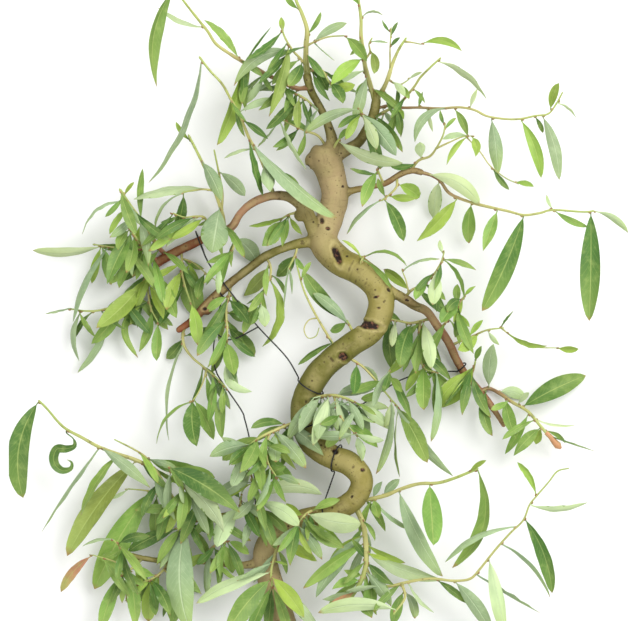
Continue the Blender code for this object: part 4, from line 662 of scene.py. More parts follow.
def eased(low: float, high: float, value: float) -> float:
    """A smooth step from 0 at the low value to 1 at the high one."""
    share = max(0.0, min(1.0, (value - low) / (high - low)))
    return share * share * (3 - 2 * share)


def directions(route: Route) -> Route:
    """The direction of a route at each of its points."""
    befores, afters = [route[0], *route[:-1]], [*route[1:], route[-1]]
    return [(after.xyz - before.xyz).normalized() for before, after in zip(befores, afters)]


def ring_round(centre: Vector, along: Vector, radius: float, sides: int) -> Route:
    """Points round a route at one of its points.

    Args:
        centre: The point of the route.
        along: The direction of the route there.
        radius: The radius.
        sides: How many points.

    Returns:
        The points.
    """
    side = along.cross(Vector((0, 0, 1)))
    side = side.normalized() if side.length > 1e-3 else Vector((1, 0, 0))
    up = side.cross(along)
    angles = [2 * math.pi * corner / sides for corner in range(sides)]
    return [centre + radius * (math.cos(angle) * side + math.sin(angle) * up) for angle in angles]


def prism(route: Route, grow: float, sides: int = 4) -> Shape:
    """A plain tube along a route, for testing what it would touch.

    Args:
        route: The 4D points.
        grow: What is added to each radius.
        sides: The number of sides.

    Returns:
        Its points and triangles.
    """
    verts = []
    for point, along in zip(route, directions(route)):
        verts += ring_round(point.xyz, along, point.w + grow, sides)
    faces: list[Face] = []
    for ring in range(len(route) - 1):
        for corner in range(sides):
            a = ring * sides + corner
            b = ring * sides + (corner + 1) % sides
            faces += [(a, b, b + sides), (a, b + sides, a + sides)]
    return verts, faces


def nearest_on(routes: Sequence[Route], spot: Vector) -> Vector:
    """The point on some routes that is nearest to a spot, seen from above.

    Args:
        routes: The routes.
        spot: The spot on the table.

    Returns:
        The point, in space.
    """
    found: tuple[float, Vector] | None = None
    for route in routes:
        for start, end in zip(route, route[1:]):
            run = end.xy - start.xy
            share = (spot - start.xy).dot(run) / max(run.length_squared, 1e-12)
            point = start.lerp(end, max(0.0, min(1.0, share)))
            gap = (point.xy - spot).length
            if found is None or gap < found[0]:
                found = (gap, point.xyz)
    assert found is not None
    return found[1]


class Room:
    """What is already in place, for finding out whether a new piece would touch it."""

    def __init__(self) -> None:
        """Starts empty."""
        self.rows: list[tuple[Vector, Vector, BVHTree, tuple]] = []

    def add(self, verts: list[Vector], faces: list[Face], key: tuple) -> None:
        """Puts a piece, by its points and triangles, in place under a key."""
        self.rows.append((*self.box(verts), BVHTree.FromPolygons(verts, faces), key))

    @staticmethod
    def box(verts: list[Vector]) -> tuple[Vector, Vector]:
        """The lowest and highest corner of some points."""
        low = Vector([min(vert[axis] for vert in verts) for axis in range(3)])
        high = Vector([max(vert[axis] for vert in verts) for axis in range(3)])
        return low, high

    def touches(self, verts: list[Vector], faces: list[Face], leave_out: set | tuple = ()) -> bool:
        """Whether a piece would touch anything.

        Args:
            verts: Its points.
            faces: Its triangles.
            leave_out: Keys, or the names that they start with, that don't count.

        Returns:
            True if it would.
        """
        low, high = self.box(verts)
        tree = None
        for row_low, row_high, row_tree, key in self.rows:
            if key in leave_out or key[0] in leave_out:
                continue
            if any(low[axis] > row_high[axis] or high[axis] < row_low[axis] for axis in range(3)):
                continue
            tree = tree or BVHTree.FromPolygons(verts, faces)
            if row_tree.overlap(tree):
                return True
        return False


def width_of(leaf: Leaf) -> float:
    """A leaf's real width: as seen, or more where it is seen on edge."""
    seen = leaf.width * GRID
    grown = min(BROAD * leaf.length, WIDEST_LEAF)
    return max(seen, EDGE_WIDTH * grown if seen < SEEN_ON_EDGE * grown else grown)


def stations_of(length: float, leaf: Leaf) -> list[float]:
    """Where the sections of a leaf's plain blade lie: more on a long or a bowed one."""
    if length < SHORT_LEAF and abs(leaf.bow) < 6:
        return [0.42]
    if length < MIDDLE_LEAF and abs(leaf.bow) < 8:
        return [0.3, 0.68]
    return [0.2, 0.46, 0.75]


def depth_of(leaf: Leaf) -> float:
    """How far a leaf leans out of the plane: a broad leaf that looks short is seen from its end."""
    length = leaf.length
    real = max(length, leaf.width * GRID / SEEN_END_ON)
    return min(math.sqrt(real * real - length * length), DEEPEST, STEEPEST * length)


def leaf_tries(leaf: Leaf) -> Iterator[tuple[float, float, float, tuple[float, float]]]:
    """Lift, arch, roll and nudge of a leaf, the likeliest first, drawn from a seed of its own place."""
    draw = random.Random(f"{SEED} {leaf.words}")
    seen = leaf.width * GRID
    tilt = math.acos(min(1.0, seen / width_of(leaf)))
    lean = leaf.side or draw.choice((-1, 1, 1))
    turn = draw.choice((-1, 1))
    length = leaf.length
    for step in range(TRIES):
        share = step / TRIES
        spread = (3 + 26 * share) * MM
        lift = lean * depth_of(leaf) * (1 - share) + leaf.side * 8 * MM + draw.uniform(-1, 1) * spread
        limit = max(0.75 * length, 6 * MM)
        lift = max(-limit, min(limit, lift))
        arch = draw.uniform(-0.03, 0.10) * length + draw.uniform(-1, 1) * share * 8 * MM
        roll = turn * tilt + draw.uniform(-0.22, 0.22) * (1 + 1.5 * share)
        wander = 5 * max(share - 0.3, 0)
        nudge = (draw.uniform(-wander, wander), draw.uniform(-wander, wander))
        yield lift, arch, roll, nudge


class Blade:
    """One leaf in space: a stalk from its stem, then a lance-shaped blade folded along its midrib."""

    def __init__(self, leaf: Leaf, root: Vector, lift: float, arch: float, roll: float,
                 nudge: tuple[float, float]) -> None:
        """Sets the leaf in space.

        Args:
            leaf: The leaf on the grid.
            root: Where it springs from its stem.
            lift: How far its tip stands over its root.
            arch: How far it bulges upwards.
            roll: How far it is turned about its midrib.
            nudge: Grid steps that its tip has been moved by.
        """
        self.leaf = leaf
        self.root = root
        self.tone = Tone(leaf.tone)
        self.roll = roll + (math.pi if self.tone.shows_underside else 0)
        tip = place(leaf.tip_x + nudge[0], leaf.tip_y + nudge[1], 0)
        base = place(leaf.x, leaf.y, 0)
        stalk = (base.xy - root.xy).length
        reach = (tip.xy - base.xy).length
        self.stalked = stalk > LONG_STALK
        self.base = Vector((base.x, base.y, root.z + lift * stalk / (stalk + reach)))
        if not self.stalked:
            self.base = root.copy()
        self.tip = Vector((tip.x, tip.y, root.z + lift))
        self.arch = arch
        flat = self.tip.xy - self.base.xy
        self.bend = Vector((-flat.y, flat.x)).normalized() * (2 * leaf.bow * GRID)
        self.real_width = width_of(leaf)

    def at(self, t: float) -> Vector:
        """A point of the midrib, from the base at 0 to the tip at 1."""
        point = self.base.lerp(self.tip, t)
        swing = 2 * t * (1 - t)
        return point + Vector((self.bend.x * swing, self.bend.y * swing, self.arch * 2 * swing))

    def way(self, t: float) -> Vector:
        """The direction of the midrib at a place along it."""
        return (self.at(min(t + 0.03, 1)) - self.at(max(t - 0.03, 0))).normalized()

    def half(self, t: float) -> float:
        """Half the plain blade's width at a place along it."""
        shape = math.sin(math.pi * min(max(t, 0.0), 1.0) ** 0.75) ** 0.85
        return max(STALK_HALF, 0.5 * self.real_width * shape)

    def axes(self, along: Vector, turn: float = 0.0) -> tuple[Vector, Vector]:
        """The directions across the blade and out of its upper face.

        Args:
            along: The direction of the midrib.
            turn: How far the blade is twisted there, beyond its roll.

        Returns:
            The two directions.
        """
        side = along.cross(Vector((0, 0, 1))).normalized()
        up = side.cross(along)
        roll = self.roll + turn
        return side * math.cos(roll) + up * math.sin(roll), up * math.cos(roll) - side * math.sin(roll)

    def ring(self, point: Vector, along: Vector, half: float, thick: float) -> list[Vector]:
        """Left edge, upper side, right edge and lower side of the plain blade at a point."""
        turned, over = self.axes(along)
        edge = over * (FOLD * (half - STALK_HALF))
        return [point - turned * half + edge, point + over * thick / 2,
                point + turned * half + edge, point - over * thick / 2]

    def mesh(self, grow: float = 0.0, first: float = 0.0) -> Shape:
        """The plain blade that the solids hold, or a grown test shape of part of it.

        Args:
            grow: What is added to its half width and its thickness.
            first: Where along the blade the shape starts.

        Returns:
            Its points and triangles.
        """
        length = (self.tip - self.base).length
        rings = []
        if grow == 0 and self.stalked:
            rings.append(self.ring(self.root, (self.base - self.root).normalized(), STALK_HALF, STALK_THICK))
        for t in [first, *[station for station in stations_of(length, self.leaf) if station > first + 0.05]]:
            rings.append(self.ring(self.at(t), self.way(t), self.half(t) + grow, BLADE_THICK + 2 * grow))
        end = (self.at(1) - self.at(0.95)).normalized()
        verts = [vert for ring in rings for vert in ring] + [self.tip + end * grow]
        faces: list[Face] = [(0, 3, 2), (0, 2, 1)]
        for ring in range(len(rings) - 1):
            for corner in range(4):
                a = 4 * ring + corner
                b = 4 * ring + (corner + 1) % 4
                c, d = b + 4, a + 4
                faces += [(a, b, c), (a, c, d)] if corner % 2 == 0 else [(a, b, d), (b, c, d)]
        last = 4 * (len(rings) - 1)
        faces += [(last + corner, last + (corner + 1) % 4, len(verts) - 1) for corner in range(4)]
        return verts, faces


@dataclass
class Wood:
    """The routes of the stem and its woody branches, which the rest grows from and keeps clear of."""

    routes: dict[str, Route] = field(default_factory=dict)
    centres: Route = field(default_factory=list)
    lines: list[Route] = field(default_factory=list)

    def __post_init__(self) -> None:
        """Works out the routes and the lines that distances are taken from."""
        self.routes = {name: routed(rows, WOOD_STEP) for name, rows in BRANCHES.items()}
        self.centres = [point for route in self.routes.values() for point in route]
        self.lines = [thinned(route, WOOD_SLACK) for route in self.routes.values()]
        for x, y, height, radius in BURLS:
            middle = Vector((*place(x, y, height), radius * MM))
            up = Vector((0, 0, 0.7 * radius * MM, 0))
            slim = Vector((0, 0, 0, 0.3 * radius * MM))
            self.lines.append([middle - up - slim, middle, middle + up - slim])

    def nearest(self, x: float, y: float) -> Vector:
        """The point of the centre lines that is nearest to a grid point, seen from above."""
        spot = place(x, y, 0).xy
        return min(self.centres, key=lambda point: (point.xy - spot).length)

    def gap_beside(self, spot: Vector) -> float:
        """How far a spot on the table lies beside the wood, seen from above, negative under it."""
        return min((point.xy - spot).length - point.w for point in self.centres)

    def bark_at(self, point: Vector) -> tuple[float, Vector]:
        """How far a point is from the grown wood, negative inside it, and the way out."""
        best: tuple[float, Vector] | None = None
        for route in self.lines:
            for start, end in zip(route, route[1:]):
                run = end.xyz - start.xyz
                share = max(0.0, min(1.0, (point - start.xyz).dot(run) / run.length_squared))
                middle = start.lerp(end, share)
                away = point - middle.xyz
                gap = away.length - middle.w - SEAT_GAP
                if best is None or gap < best[0]:
                    best = (gap, away.normalized())
        assert best is not None
        return best

    def round_at(self, branch: str, x: float, y: float, turn: tuple[float, float],
                 clearance: float) -> list[Vector]:
        """Points of a wire wound round a branch.

        Args:
            branch: The branch's name.
            x: Grid steps to the right.
            y: Grid steps towards the cut end.
            turn: The first and the last angle, measured from the top.
            clearance: How far the wire's middle stands off the bark.

        Returns:
            The points, in order.
        """
        route = self.routes[branch]
        spot = place(x, y, 0).xy
        index = min(range(1, len(route) - 1), key=lambda i: (route[i].xy - spot).length)
        along = (route[index + 1].xyz - route[index - 1].xyz).normalized()
        up = (Vector((0, 0, 1)) - along * along.z).normalized()
        side = along.cross(up)
        start, end = turn
        count = max(4, round(abs(end - start) / WINDING_STEP))
        points = []
        for step in range(count + 1):
            angle = math.radians(start + (end - start) * step / count)
            reach = route[index].w + clearance
            creep = along * (WINDING_PITCH * (step / count - 0.5))
            points.append(route[index].xyz + reach * (math.cos(angle) * up + math.sin(angle) * side) + creep)
        return points


class Plant:
    """Places the stems and leaves of every shoot clear of the wood, the wires and each other."""

    def __init__(self, wood: Wood, wires: dict[str, list[Route]]) -> None:
        """Puts the wood and the wires in place.

        Args:
            wood: The stem and its branches.
            wires: The routes of each wire.
        """
        self.wood = wood
        self.room = Room()
        for line in wood.lines:
            self.room.add(*prism(line, SEAT_GAP, WOOD_TEST_SIDES), ("wood",))
        for name, routes in wires.items():
            for route in routes:
                self.room.add(*prism(route, 0.0), (name,))
        self.stems: dict[str, list[Route]] = {}
        self.fine: dict[str, list[Route]] = {}
        self.blades: dict[str, list[Blade]] = {name: [] for name in SHOOTS}
        self.missing: list[tuple[str, Leaf]] = []
        self.ceiling = HIGHEST

    def outside(self, point: Vector) -> float:
        """How far a point is from the wood, negative inside it."""
        return self.wood.bark_at(point)[0]

    def root_of(self, shoot: str, number: int, stem: Stem) -> Vector:
        """The point where a stem starts: inside the wood, or on the middle line of the stem that it leaves.

        Args:
            shoot: The shoot's name.
            number: The stem's number in the shoot.
            stem: The stem.

        Returns:
            The point.
        """
        x, y = stem.route[0]
        if number == 0:
            return place(x, y, self.wood.nearest(x, y).z / MM)
        return nearest_on(self.stems[shoot], place(x, y, 0).xy)

    def stem_route(self, stem: Stem, root: Vector, rise: float, arch: float,
                   spacing: float = SHOOT_STEP) -> Route:
        """A stem's route, rising smoothly from its root, with an arch.

        Args:
            stem: The stem.
            root: Where it starts.
            rise: How far its end stands over its root.
            arch: How far its middle stands over that.
            spacing: The distance between the points of the route.

        Returns:
            The 4D points of the route.
        """
        flat = [Vector((root.x, root.y, 0)), *[place(x, y, 0) for x, y in stem.route[1:]]]
        sums = lengths_of(flat)
        points = []
        for point, length in zip(flat, sums):
            share = length / sums[-1]
            climb = share * share * (3 - 2 * share)
            radius = (stem.start + (stem.end - stem.start) * share) * MM
            height = root.z + rise * climb + arch * math.sin(math.pi * share)
            points.append(Vector((point.x, point.y, height, radius)))
        return smooth(points, spacing)

    def stem_tries(self, stem: Stem) -> Iterator[tuple[float, float]]:
        """Rise and arch of a stem, the stated ones first."""
        for rise_change in (0, 5, -5, 10, -10, 16):
            for arch_change in (0, 3, -3, 6, -6, 9, -9, 13, -13, 18, 24):
                yield (stem.rise + rise_change) * MM, (stem.arch + arch_change) * MM

    def place_stem(self, shoot: str, number: int, stem: Stem) -> None:
        """Finds a free route for a stem and puts it in place.

        Args:
            shoot: The shoot's name.
            number: The stem's number in the shoot.
            stem: The stem.
        """
        root = self.root_of(shoot, number, stem)
        best = None
        for rise, arch in self.stem_tries(stem):
            route = self.stem_route(stem, root, rise, arch)
            close = self.stem_route(stem, root, rise, arch, TEST_STEP)
            bare = free = JOINED_POINTS
            if number == 0:
                bare = next((i for i, p in enumerate(close) if self.outside(p.xyz) > -p.w), len(close))
                free = next((i for i, p in enumerate(close) if self.outside(p.xyz) > p.w + CLEAR), len(close))
            if free > len(close) - FREE_POINTS:
                continue
            best = best or (route, close)
            if min(point.z - point.w for point in close[free:]) < STEM_LOWEST:
                continue
            if max(point.z for point in route) > HIGHEST:
                continue
            if self.room.touches(*prism(close[bare:], CLEAR), leave_out={"wood"}):
                continue
            if not self.room.touches(*prism(close[free:], CLEAR)):
                best = (route, close)
                break
        assert best is not None
        self.stems[shoot].append(thinned(best[0], SHOOT_SLACK))
        self.fine[shoot].append(best[1])

    def place_stems(self) -> None:
        """Places every stem, the main ones first."""
        for shoot in SHOOTS:
            self.stems[shoot] = []
            self.fine[shoot] = []
        most = max(len(shoot.stems) for shoot in SHOOTS.values())
        for number in range(most):
            for name, shoot in SHOOTS.items():
                if number < len(shoot.stems):
                    self.place_stem(name, number, shoot.stems[number])
                    self.room.add(*prism(self.stems[name][-1], 0.0), (name, number))

    def leaf_root(self, shoot: str, leaf: Leaf) -> tuple[Vector, int]:
        """The point of a shoot's stems where a leaf springs, and the number of that stem."""
        spot = place(leaf.x, leaf.y, 0).xy
        found: tuple[float, Vector, int] | None = None
        for number, route in enumerate(self.stems[shoot]):
            for start, end in zip(route, route[1:]):
                for share in (0.0, 0.25, 0.5, 0.75, 1.0):
                    point = start.lerp(end, share)
                    gap = (point.xy - spot).length
                    if found and gap >= found[0]:
                        continue
                    if self.outside(point.xyz) > LEAF_OFF_WOOD:
                        found = (gap, point.xyz, number)
        assert found is not None
        return found[1], found[2]

    def place_leaf(self, shoot: str, leaf: Leaf) -> None:
        """Finds a free place for a leaf's blade, or leaves the leaf out.

        Args:
            shoot: The shoot's name.
            leaf: The leaf.
        """
        root, stem = self.leaf_root(shoot, leaf)
        for step, (lift, arch, roll, nudge) in enumerate(leaf_tries(leaf)):
            blade = Blade(leaf, root, lift, arch, roll, nudge)
            verts, faces = blade.mesh()
            if min(vert.z for vert in verts) < LOWEST or max(vert.z for vert in verts) > self.ceiling:
                continue
            own = {shoot} if step > CROSSING_TRY else ()
            if self.room.touches(*blade.mesh(CLEAR, 0.0 if blade.stalked else MEETING_SHARE), own):
                continue
            if self.room.touches(verts, faces, own or {(shoot, stem)}):
                continue
            self.room.add(verts, faces, (shoot, leaf))
            self.blades[shoot].append(blade)
            return
        self.missing.append((shoot, leaf))

    def place_leaves(self) -> None:
        """Places every leaf, the largest first."""
        rows = [(shoot, leaf) for shoot, parts in SHOOTS.items() for leaf in parts.leaves]
        for shoot, leaf in sorted(rows, key=lambda row: -row[1].width * row[1].length):
            self.place_leaf(shoot, leaf)


def srgb(red: int, green: int, blue: int) -> Colour:
    """A linear colour from the three values of a colour picker.

    Args:
        red: 0 to 255.
        green: 0 to 255.
        blue: 0 to 255.

    Returns:
        The linear colour, with an alpha of 1.
    """
    values = []
    for value in (red, green, blue):
        share = value / 255
        values.append(share / 12.92 if share <= 0.04045 else ((share + 0.055) / 1.055) ** 2.4)
    return (*values, 1.0)


class Signal:
    """A socket of a material, on which sums work as they do on numbers."""

    def __init__(self, nodes: "Nodes", socket: bpy.types.NodeSocket) -> None:
        """Wraps a socket of a material."""
        self.nodes = nodes
        self.socket = socket

    def sum(self, operation: str, first: "Signal | Number", second: "Signal | Number" = 0.0) -> "Signal":
        """The result of a Math node on one or two values."""
        return self.nodes.add("ShaderNodeMath", {"operation": operation}, {0: first, 1: second})

    def __add__(self, other: "Signal | Number") -> "Signal":
        """This plus another."""
        return self.sum("ADD", self, other)

    def __radd__(self, other: Number) -> "Signal":
        """A number plus this."""
        return self.sum("ADD", other, self)

    def __sub__(self, other: "Signal | Number") -> "Signal":
        """This less another."""
        return self.sum("SUBTRACT", self, other)

    def __rsub__(self, other: Number) -> "Signal":
        """A number less this."""
        return self.sum("SUBTRACT", other, self)

    def __mul__(self, other: "Signal | Number") -> "Signal":
        """This times another."""
        return self.sum("MULTIPLY", self, other)

    def __rmul__(self, other: Number) -> "Signal":
        """A number times this."""
        return self.sum("MULTIPLY", other, self)

    def size(self) -> "Signal":
        """This without its sign."""
        return self.sum("ABSOLUTE", self)

    def wave(self) -> "Signal":
        """The sine of this."""
        return self.sum("SINE", self)

    def step(self, low: Number, high: Number) -> "Signal":
        """A smooth step of this, from 0 at the low value to 1 at the high one; low may be the larger."""
        if low > high:
            return 1 - self.step(high, low)
        inputs = {"Value": self, "From Min": low, "From Max": high, "To Min": 0.0, "To Max": 1.0}
        return self.nodes.add("ShaderNodeMapRange", {"interpolation_type": "SMOOTHSTEP"}, inputs)


class Nodes:
    """One material: its nodes and its shader."""

    def __init__(self, name: str, roughness: float = 0.5, specular: float = 0.5) -> None:
        """Starts a material.

        Args:
            name: Its name.
            roughness: The shader's plain roughness.
            specular: The shader's specular level.
        """
        self.material = bpy.data.materials.new(name)
        self.material.use_nodes = True
        self.tree = self.material.node_tree
        self.shader = self.tree.nodes["Principled BSDF"]
        self.shader.inputs["Roughness"].default_value = roughness
        self.shader.inputs["Specular IOR Level"].default_value = specular

    def add(self, kind: str, settings: dict[str, object], inputs: dict[str | int, object],
            output: str | int = 0) -> Signal:
        """Adds a node.

        Args:
            kind: The node's type.
            settings: Its properties; "stops" gives a ramp's places and colours.
            inputs: Values or signals for its sockets, by name or number.
            output: Which of its outputs is wanted.

        Returns:
            That output.
        """
        node = self.tree.nodes.new(kind)
        for key, value in settings.items():
            if key != "stops":
                setattr(node, key, value)
                continue
            while len(node.color_ramp.elements) < len(value):
                node.color_ramp.elements.new(0.5)
            for element, (spot, colour) in zip(node.color_ramp.elements, value):
                element.position, element.color = spot, colour
        for key, value in inputs.items():
            if isinstance(value, Signal):
                self.tree.links.new(value.socket, node.inputs[key])
            else:
                node.inputs[key].default_value = value
        return Signal(self, node.outputs[output])

    def mark(self, name: str, output: str = "Fac") -> Signal:
        """A number, or with the output "Color" a colour, kept at the points of the mesh."""
        return self.add("ShaderNodeAttribute", {"attribute_name": name}, {}, output)

    def place(self) -> Signal:
        """The point in the object's own space."""
        return self.add("ShaderNodeTexCoord", {}, {}, "Object")

    def spot(self, x: Signal | Number, y: Signal | Number, z: Signal | Number) -> Signal:
        """A vector from three values."""
        return self.add("ShaderNodeCombineXYZ", {}, {0: x, 1: y, 2: z})

    def noise(self, at: Signal, scale: Number, detail: Number = 3.0, rough: Number = 0.55) -> Signal:
        """A noise between 0 and 1, with a number of finer layers that are so strong."""
        inputs = {"Vector": at, "Scale": scale, "Detail": detail, "Roughness": rough}
        return self.add("ShaderNodeTexNoise", {}, inputs)

    def cells(self, at: Signal, scale: Number) -> Signal:
        """The distance to the nearest of a field of scattered points."""
        return self.add("ShaderNodeTexVoronoi", {}, {"Vector": at, "Scale": scale}, "Distance")

    def mix(self, share: Signal | Number, low: object, high: object) -> Signal:
        """One colour or signal turning into another, by a share."""
        settings = {"data_type": "RGBA", "blend_type": "MIX"}
        return self.add("ShaderNodeMix", settings, {0: share, 6: low, 7: high}, 2)

    def bump(self, height: Signal, depth: float, strength: float = 1.0) -> None:
        """Raises the surface by a height signal, to a depth in metres."""
        made = self.add("ShaderNodeBump", {}, {"Height": height, "Distance": depth, "Strength": strength})
        self.feed("Normal", made)

    def feed(self, socket: str, value: Signal) -> None:
        """Links a signal to one of the shader's sockets."""
        self.tree.links.new(value.socket, self.shader.inputs[socket])


@dataclass(frozen=True)
class BarkFinish:
    """Thin ridged bark with lenticels across it and dark pruning scars; painted highlight on top, painted
    shade on the flanks.
    """

    name: str = "willow_bark"
    dark: tuple = srgb(58, 38, 22)
    hollow: tuple = srgb(38, 24, 18)
    torn: tuple = srgb(128, 86, 62)
    fresh: tuple = srgb(226, 208, 162)
    late: tuple = srgb(176, 146, 98)
    rings: float = 34.0
    dots: float = 210.0
    # Pale tone for the painted highlight along the top of each branch, and for the rims round the scars
    pale: tuple = srgb(208, 192, 134)
    # Olive for the mottling, and for the painted shade on the flanks and underside of each branch
    moss_and_flank_shade: tuple = srgb(92, 94, 34)
    lenticels_along: float = 150.0
    lenticels_round: float = 1.7

    def material(self) -> bpy.types.Material:
        """The bark's material, which reads what is kept at the points of its mesh."""
        nodes = Nodes(self.name, 0.7, 0.3)
        at = nodes.place()
        paint = nodes.mark("paint", "Color")
        along, turn, scar, rim = (nodes.mark(name) for name in ("along", "turn", "scar", "rim"))
        branch = nodes.mark("branch")
        grain = nodes.noise(nodes.spot(along * 60, turn * 5, branch), 1.0, 5.0, 0.65)
        wrinkle = nodes.noise(nodes.spot(along * 520, turn * 2.2, branch), 1.0, 3.0, 0.6)
        patch = nodes.noise(at, 70.0, 4.0, 0.6)
        fine = nodes.noise(at, 900.0, 3.0, 0.6)
        pore_at = nodes.spot(along * self.lenticels_along, turn * self.lenticels_round, branch)
        pore = nodes.cells(pore_at, 1.0).step(0.24, 0.08) * nodes.noise(at, 120.0).step(0.44, 0.58)
        dot = nodes.cells(at, self.dots).step(0.22, 0.1) * nodes.noise(at, 90.0).step(0.42, 0.6)
        speck = dot + pore - dot * pore
        freckle = nodes.cells(at, self.dots * 2.3).step(0.3, 0.12) * nodes.noise(at, 140.0).step(0.46, 0.6)
        # Masks of painted light, by the angle from the top: the top of each branch, and its flanks and
        # underside
        painted_top_highlight, flank = turn.step(0.36, 0.06), turn.step(0.3, 0.52)
        # Olive mottling, and painted shade: the flanks and underside of each branch turn darker olive
        colour = nodes.mix(patch.step(0.35, 0.75) * 0.35 + flank * 0.4, paint, self.moss_and_flank_shade)
        # Painted highlight: the top of each branch is paler in patches
        colour = nodes.mix(painted_top_highlight * patch.step(0.3, 0.6) * 0.3, colour, self.pale)
        colour = nodes.mix(grain.step(0.46, 0.26) * 0.45, colour, self.dark)
        colour = nodes.mix(wrinkle.step(0.44, 0.3) * 0.22, colour, self.dark)
        colour = nodes.mix(fine.step(0.62, 0.8) * 0.25, colour, self.dark)
        colour = nodes.mix(freckle * 0.55, colour, self.dark)
        colour = nodes.mix(speck * 0.8, colour, self.dark)
        colour = nodes.mix(rim * patch.step(0.3, 0.6) * 0.4, colour, self.pale)
        inside = nodes.mix(nodes.noise(at, 420.0).step(0.5, 0.68), self.hollow, self.torn)
        # The dark scars, and the painted shade in the crotch at (322, 220), in hollow and torn colours
        colour = nodes.mix(scar.step(0.1, 0.8), colour, inside)
        ring = (nodes.mark("reach") * self.rings + nodes.noise(at, 160.0) * 1.6).wave().step(-0.2, 0.9)
        colour = nodes.mix(nodes.mark("cut"), colour, nodes.mix(ring * 0.7, self.fresh, self.late))
        nodes.feed("Base Color", colour)
        nodes.feed("Roughness", 0.62 + 0.25 * fine)
        nodes.bump(grain * 0.5 + patch + wrinkle * 0.6 + fine * 0.4 - speck * 0.8, 0.0007, 0.7)
        return nodes.material


@dataclass(frozen=True)
class TwigFinish:
    """The skin of a young shoot: smooth, streaked along, with a few pale dots."""

    name: str = "shoot_skin"
    dark: tuple = srgb(96, 84, 40)
    pale: tuple = srgb(226, 222, 150)
    dots: float = 320.0

    def material(self) -> bpy.types.Material:
        """The shoot's material, which reads the marks of its mesh."""
        nodes = Nodes(self.name, 0.5, 0.4)
        at = nodes.place()
        along, turn = nodes.mark("along"), nodes.mark("turn")
        streak = nodes.noise(nodes.spot(along * 50, turn * 3, nodes.mark("chance") * 40), 1.0, 4.0, 0.6)
        dots = nodes.cells(at, self.dots).step(0.3, 0.12) * nodes.noise(at, 210.0).step(0.5, 0.6)
        blotch = nodes.noise(at, 120.0, 3.0, 0.5)
        colour = nodes.mix(streak.step(0.45, 0.75) * 0.45, nodes.mark("paint", "Color"), self.pale)
        colour = nodes.mix(blotch.step(0.52, 0.75) * 0.5, colour, self.dark)
        colour = nodes.mix(dots * 0.6, colour, self.dark)
        nodes.feed("Base Color", colour)
        nodes.feed("Roughness", 0.42 + 0.2 * blotch)
        nodes.bump(streak + dots * 0.4, 0.0003, 0.5)
        return nodes.material


@dataclass(frozen=True)
class LeafFinish:
    """A face of a leaf: midrib, side veins, mottling and a drying tip."""

    name: str
    read: str
    vein: tuple
    vein_share: float
    dry: tuple = srgb(158, 128, 74)
    shadow: tuple = srgb(46, 78, 30)
    # The yellow-green that some leaves turn towards the tip
    young: tuple = srgb(166, 190, 96)
    pairs: float = 15.0
    slant: float = 5.0
    gloss: float = 0.42
    raised: float = 1.0

    def material(self) -> bpy.types.Material:
        """The leaf's material, which reads the marks and one of the colours of its mesh."""
        nodes = Nodes(self.name, self.gloss, 0.4)
        at = nodes.place()
        across, along, chance = nodes.mark("across"), nodes.mark("along"), nodes.mark("chance")
        side = across.size()
        midrib = side.step(0.1, 0.02)
        wander = nodes.noise(nodes.spot(along * 9, side * 2, chance * 30), 1.0) * 0.9
        veins = ((along * self.pairs - side * self.slant * 0.5 + wander) * 6.2832).wave().step(0.86, 1.0)
        veins = veins * side.step(1.05, 0.5)
        mottle = nodes.noise(at, 160.0, 4.0, 0.6)
        fine = nodes.noise(at, 1300.0, 2.0, 0.6)
        patch = nodes.noise(nodes.spot(along * 3, across, chance * 70), 1.0, 2.0, 0.5)
        colour = nodes.mix(patch.step(0.35, 0.7) * 0.25, nodes.mark(self.read, "Color"), self.shadow)
        colour = nodes.mix(mottle.step(0.45, 0.75) * 0.25, colour, self.vein)
        # Some leaves turn yellow-green towards the tip
        colour = nodes.mix(along.step(0.35, 1.0) * chance * 0.55, colour, self.young)
        colour = nodes.mix(veins * self.vein_share * 0.35, colour, self.vein)
        colour = nodes.mix(midrib * self.vein_share, colour, self.vein)
        ending = (along + mottle * 0.08 + chance * 0.07).step(1.02, 1.1)
        edge = side.step(0.9, 1.0) * mottle.step(0.56, 0.66) * 0.25
        colour = nodes.mix(ending, colour, self.dry)
        colour = nodes.mix(edge, colour, self.dry)
        nodes.feed("Base Color", colour)
        nodes.feed("Roughness", self.gloss + 0.16 * mottle)
        height = (midrib * 1.2 + veins * 0.35) * self.raised + mottle * 0.5 + fine * 0.15
        nodes.bump(height, 0.0004, 0.6)
        return nodes.material


@dataclass(frozen=True)
class WireFinish:
    """Annealed black wire, worn a little in places."""

    name: str = "black_wire"
    base: tuple = srgb(42, 42, 44)
    worn: tuple = srgb(98, 92, 86)

    def material(self) -> bpy.types.Material:
        """The wire's material."""
        nodes = Nodes(self.name, 0.45, 0.5)
        at = nodes.place()
        wear = nodes.noise(at, 260.0, 4.0, 0.65)
        nodes.feed("Base Color", nodes.mix(wear.step(0.5, 0.72) * 0.7, self.base, self.worn))
        nodes.feed("Roughness", 0.35 + 0.3 * wear)
        nodes.shader.inputs["Metallic"].default_value = 0.6
        nodes.bump(nodes.noise(at, 1500.0), 0.0001, 0.4)
        return nodes.material


@dataclass(frozen=True)
class TableFinish:
    """A plain pale table top."""

    name: str = "pale_table"
    base: tuple = (0.93, 0.93, 0.92, 1.0)
    shade: tuple = (0.88, 0.88, 0.87, 1.0)

    def material(self) -> bpy.types.Material:
        """The table's material."""
        nodes = Nodes(self.name, 0.9, 0.1)
        nodes.feed("Base Color", nodes.mix(nodes.noise(nodes.place(), 4.0) * 0.3, self.base, self.shade))
        return nodes.material


def blended(low: Colour, high: Colour, share: float) -> Colour:
    """A colour between two others."""
    return tuple(a + (b - a) * share for a, b in zip(low, high))


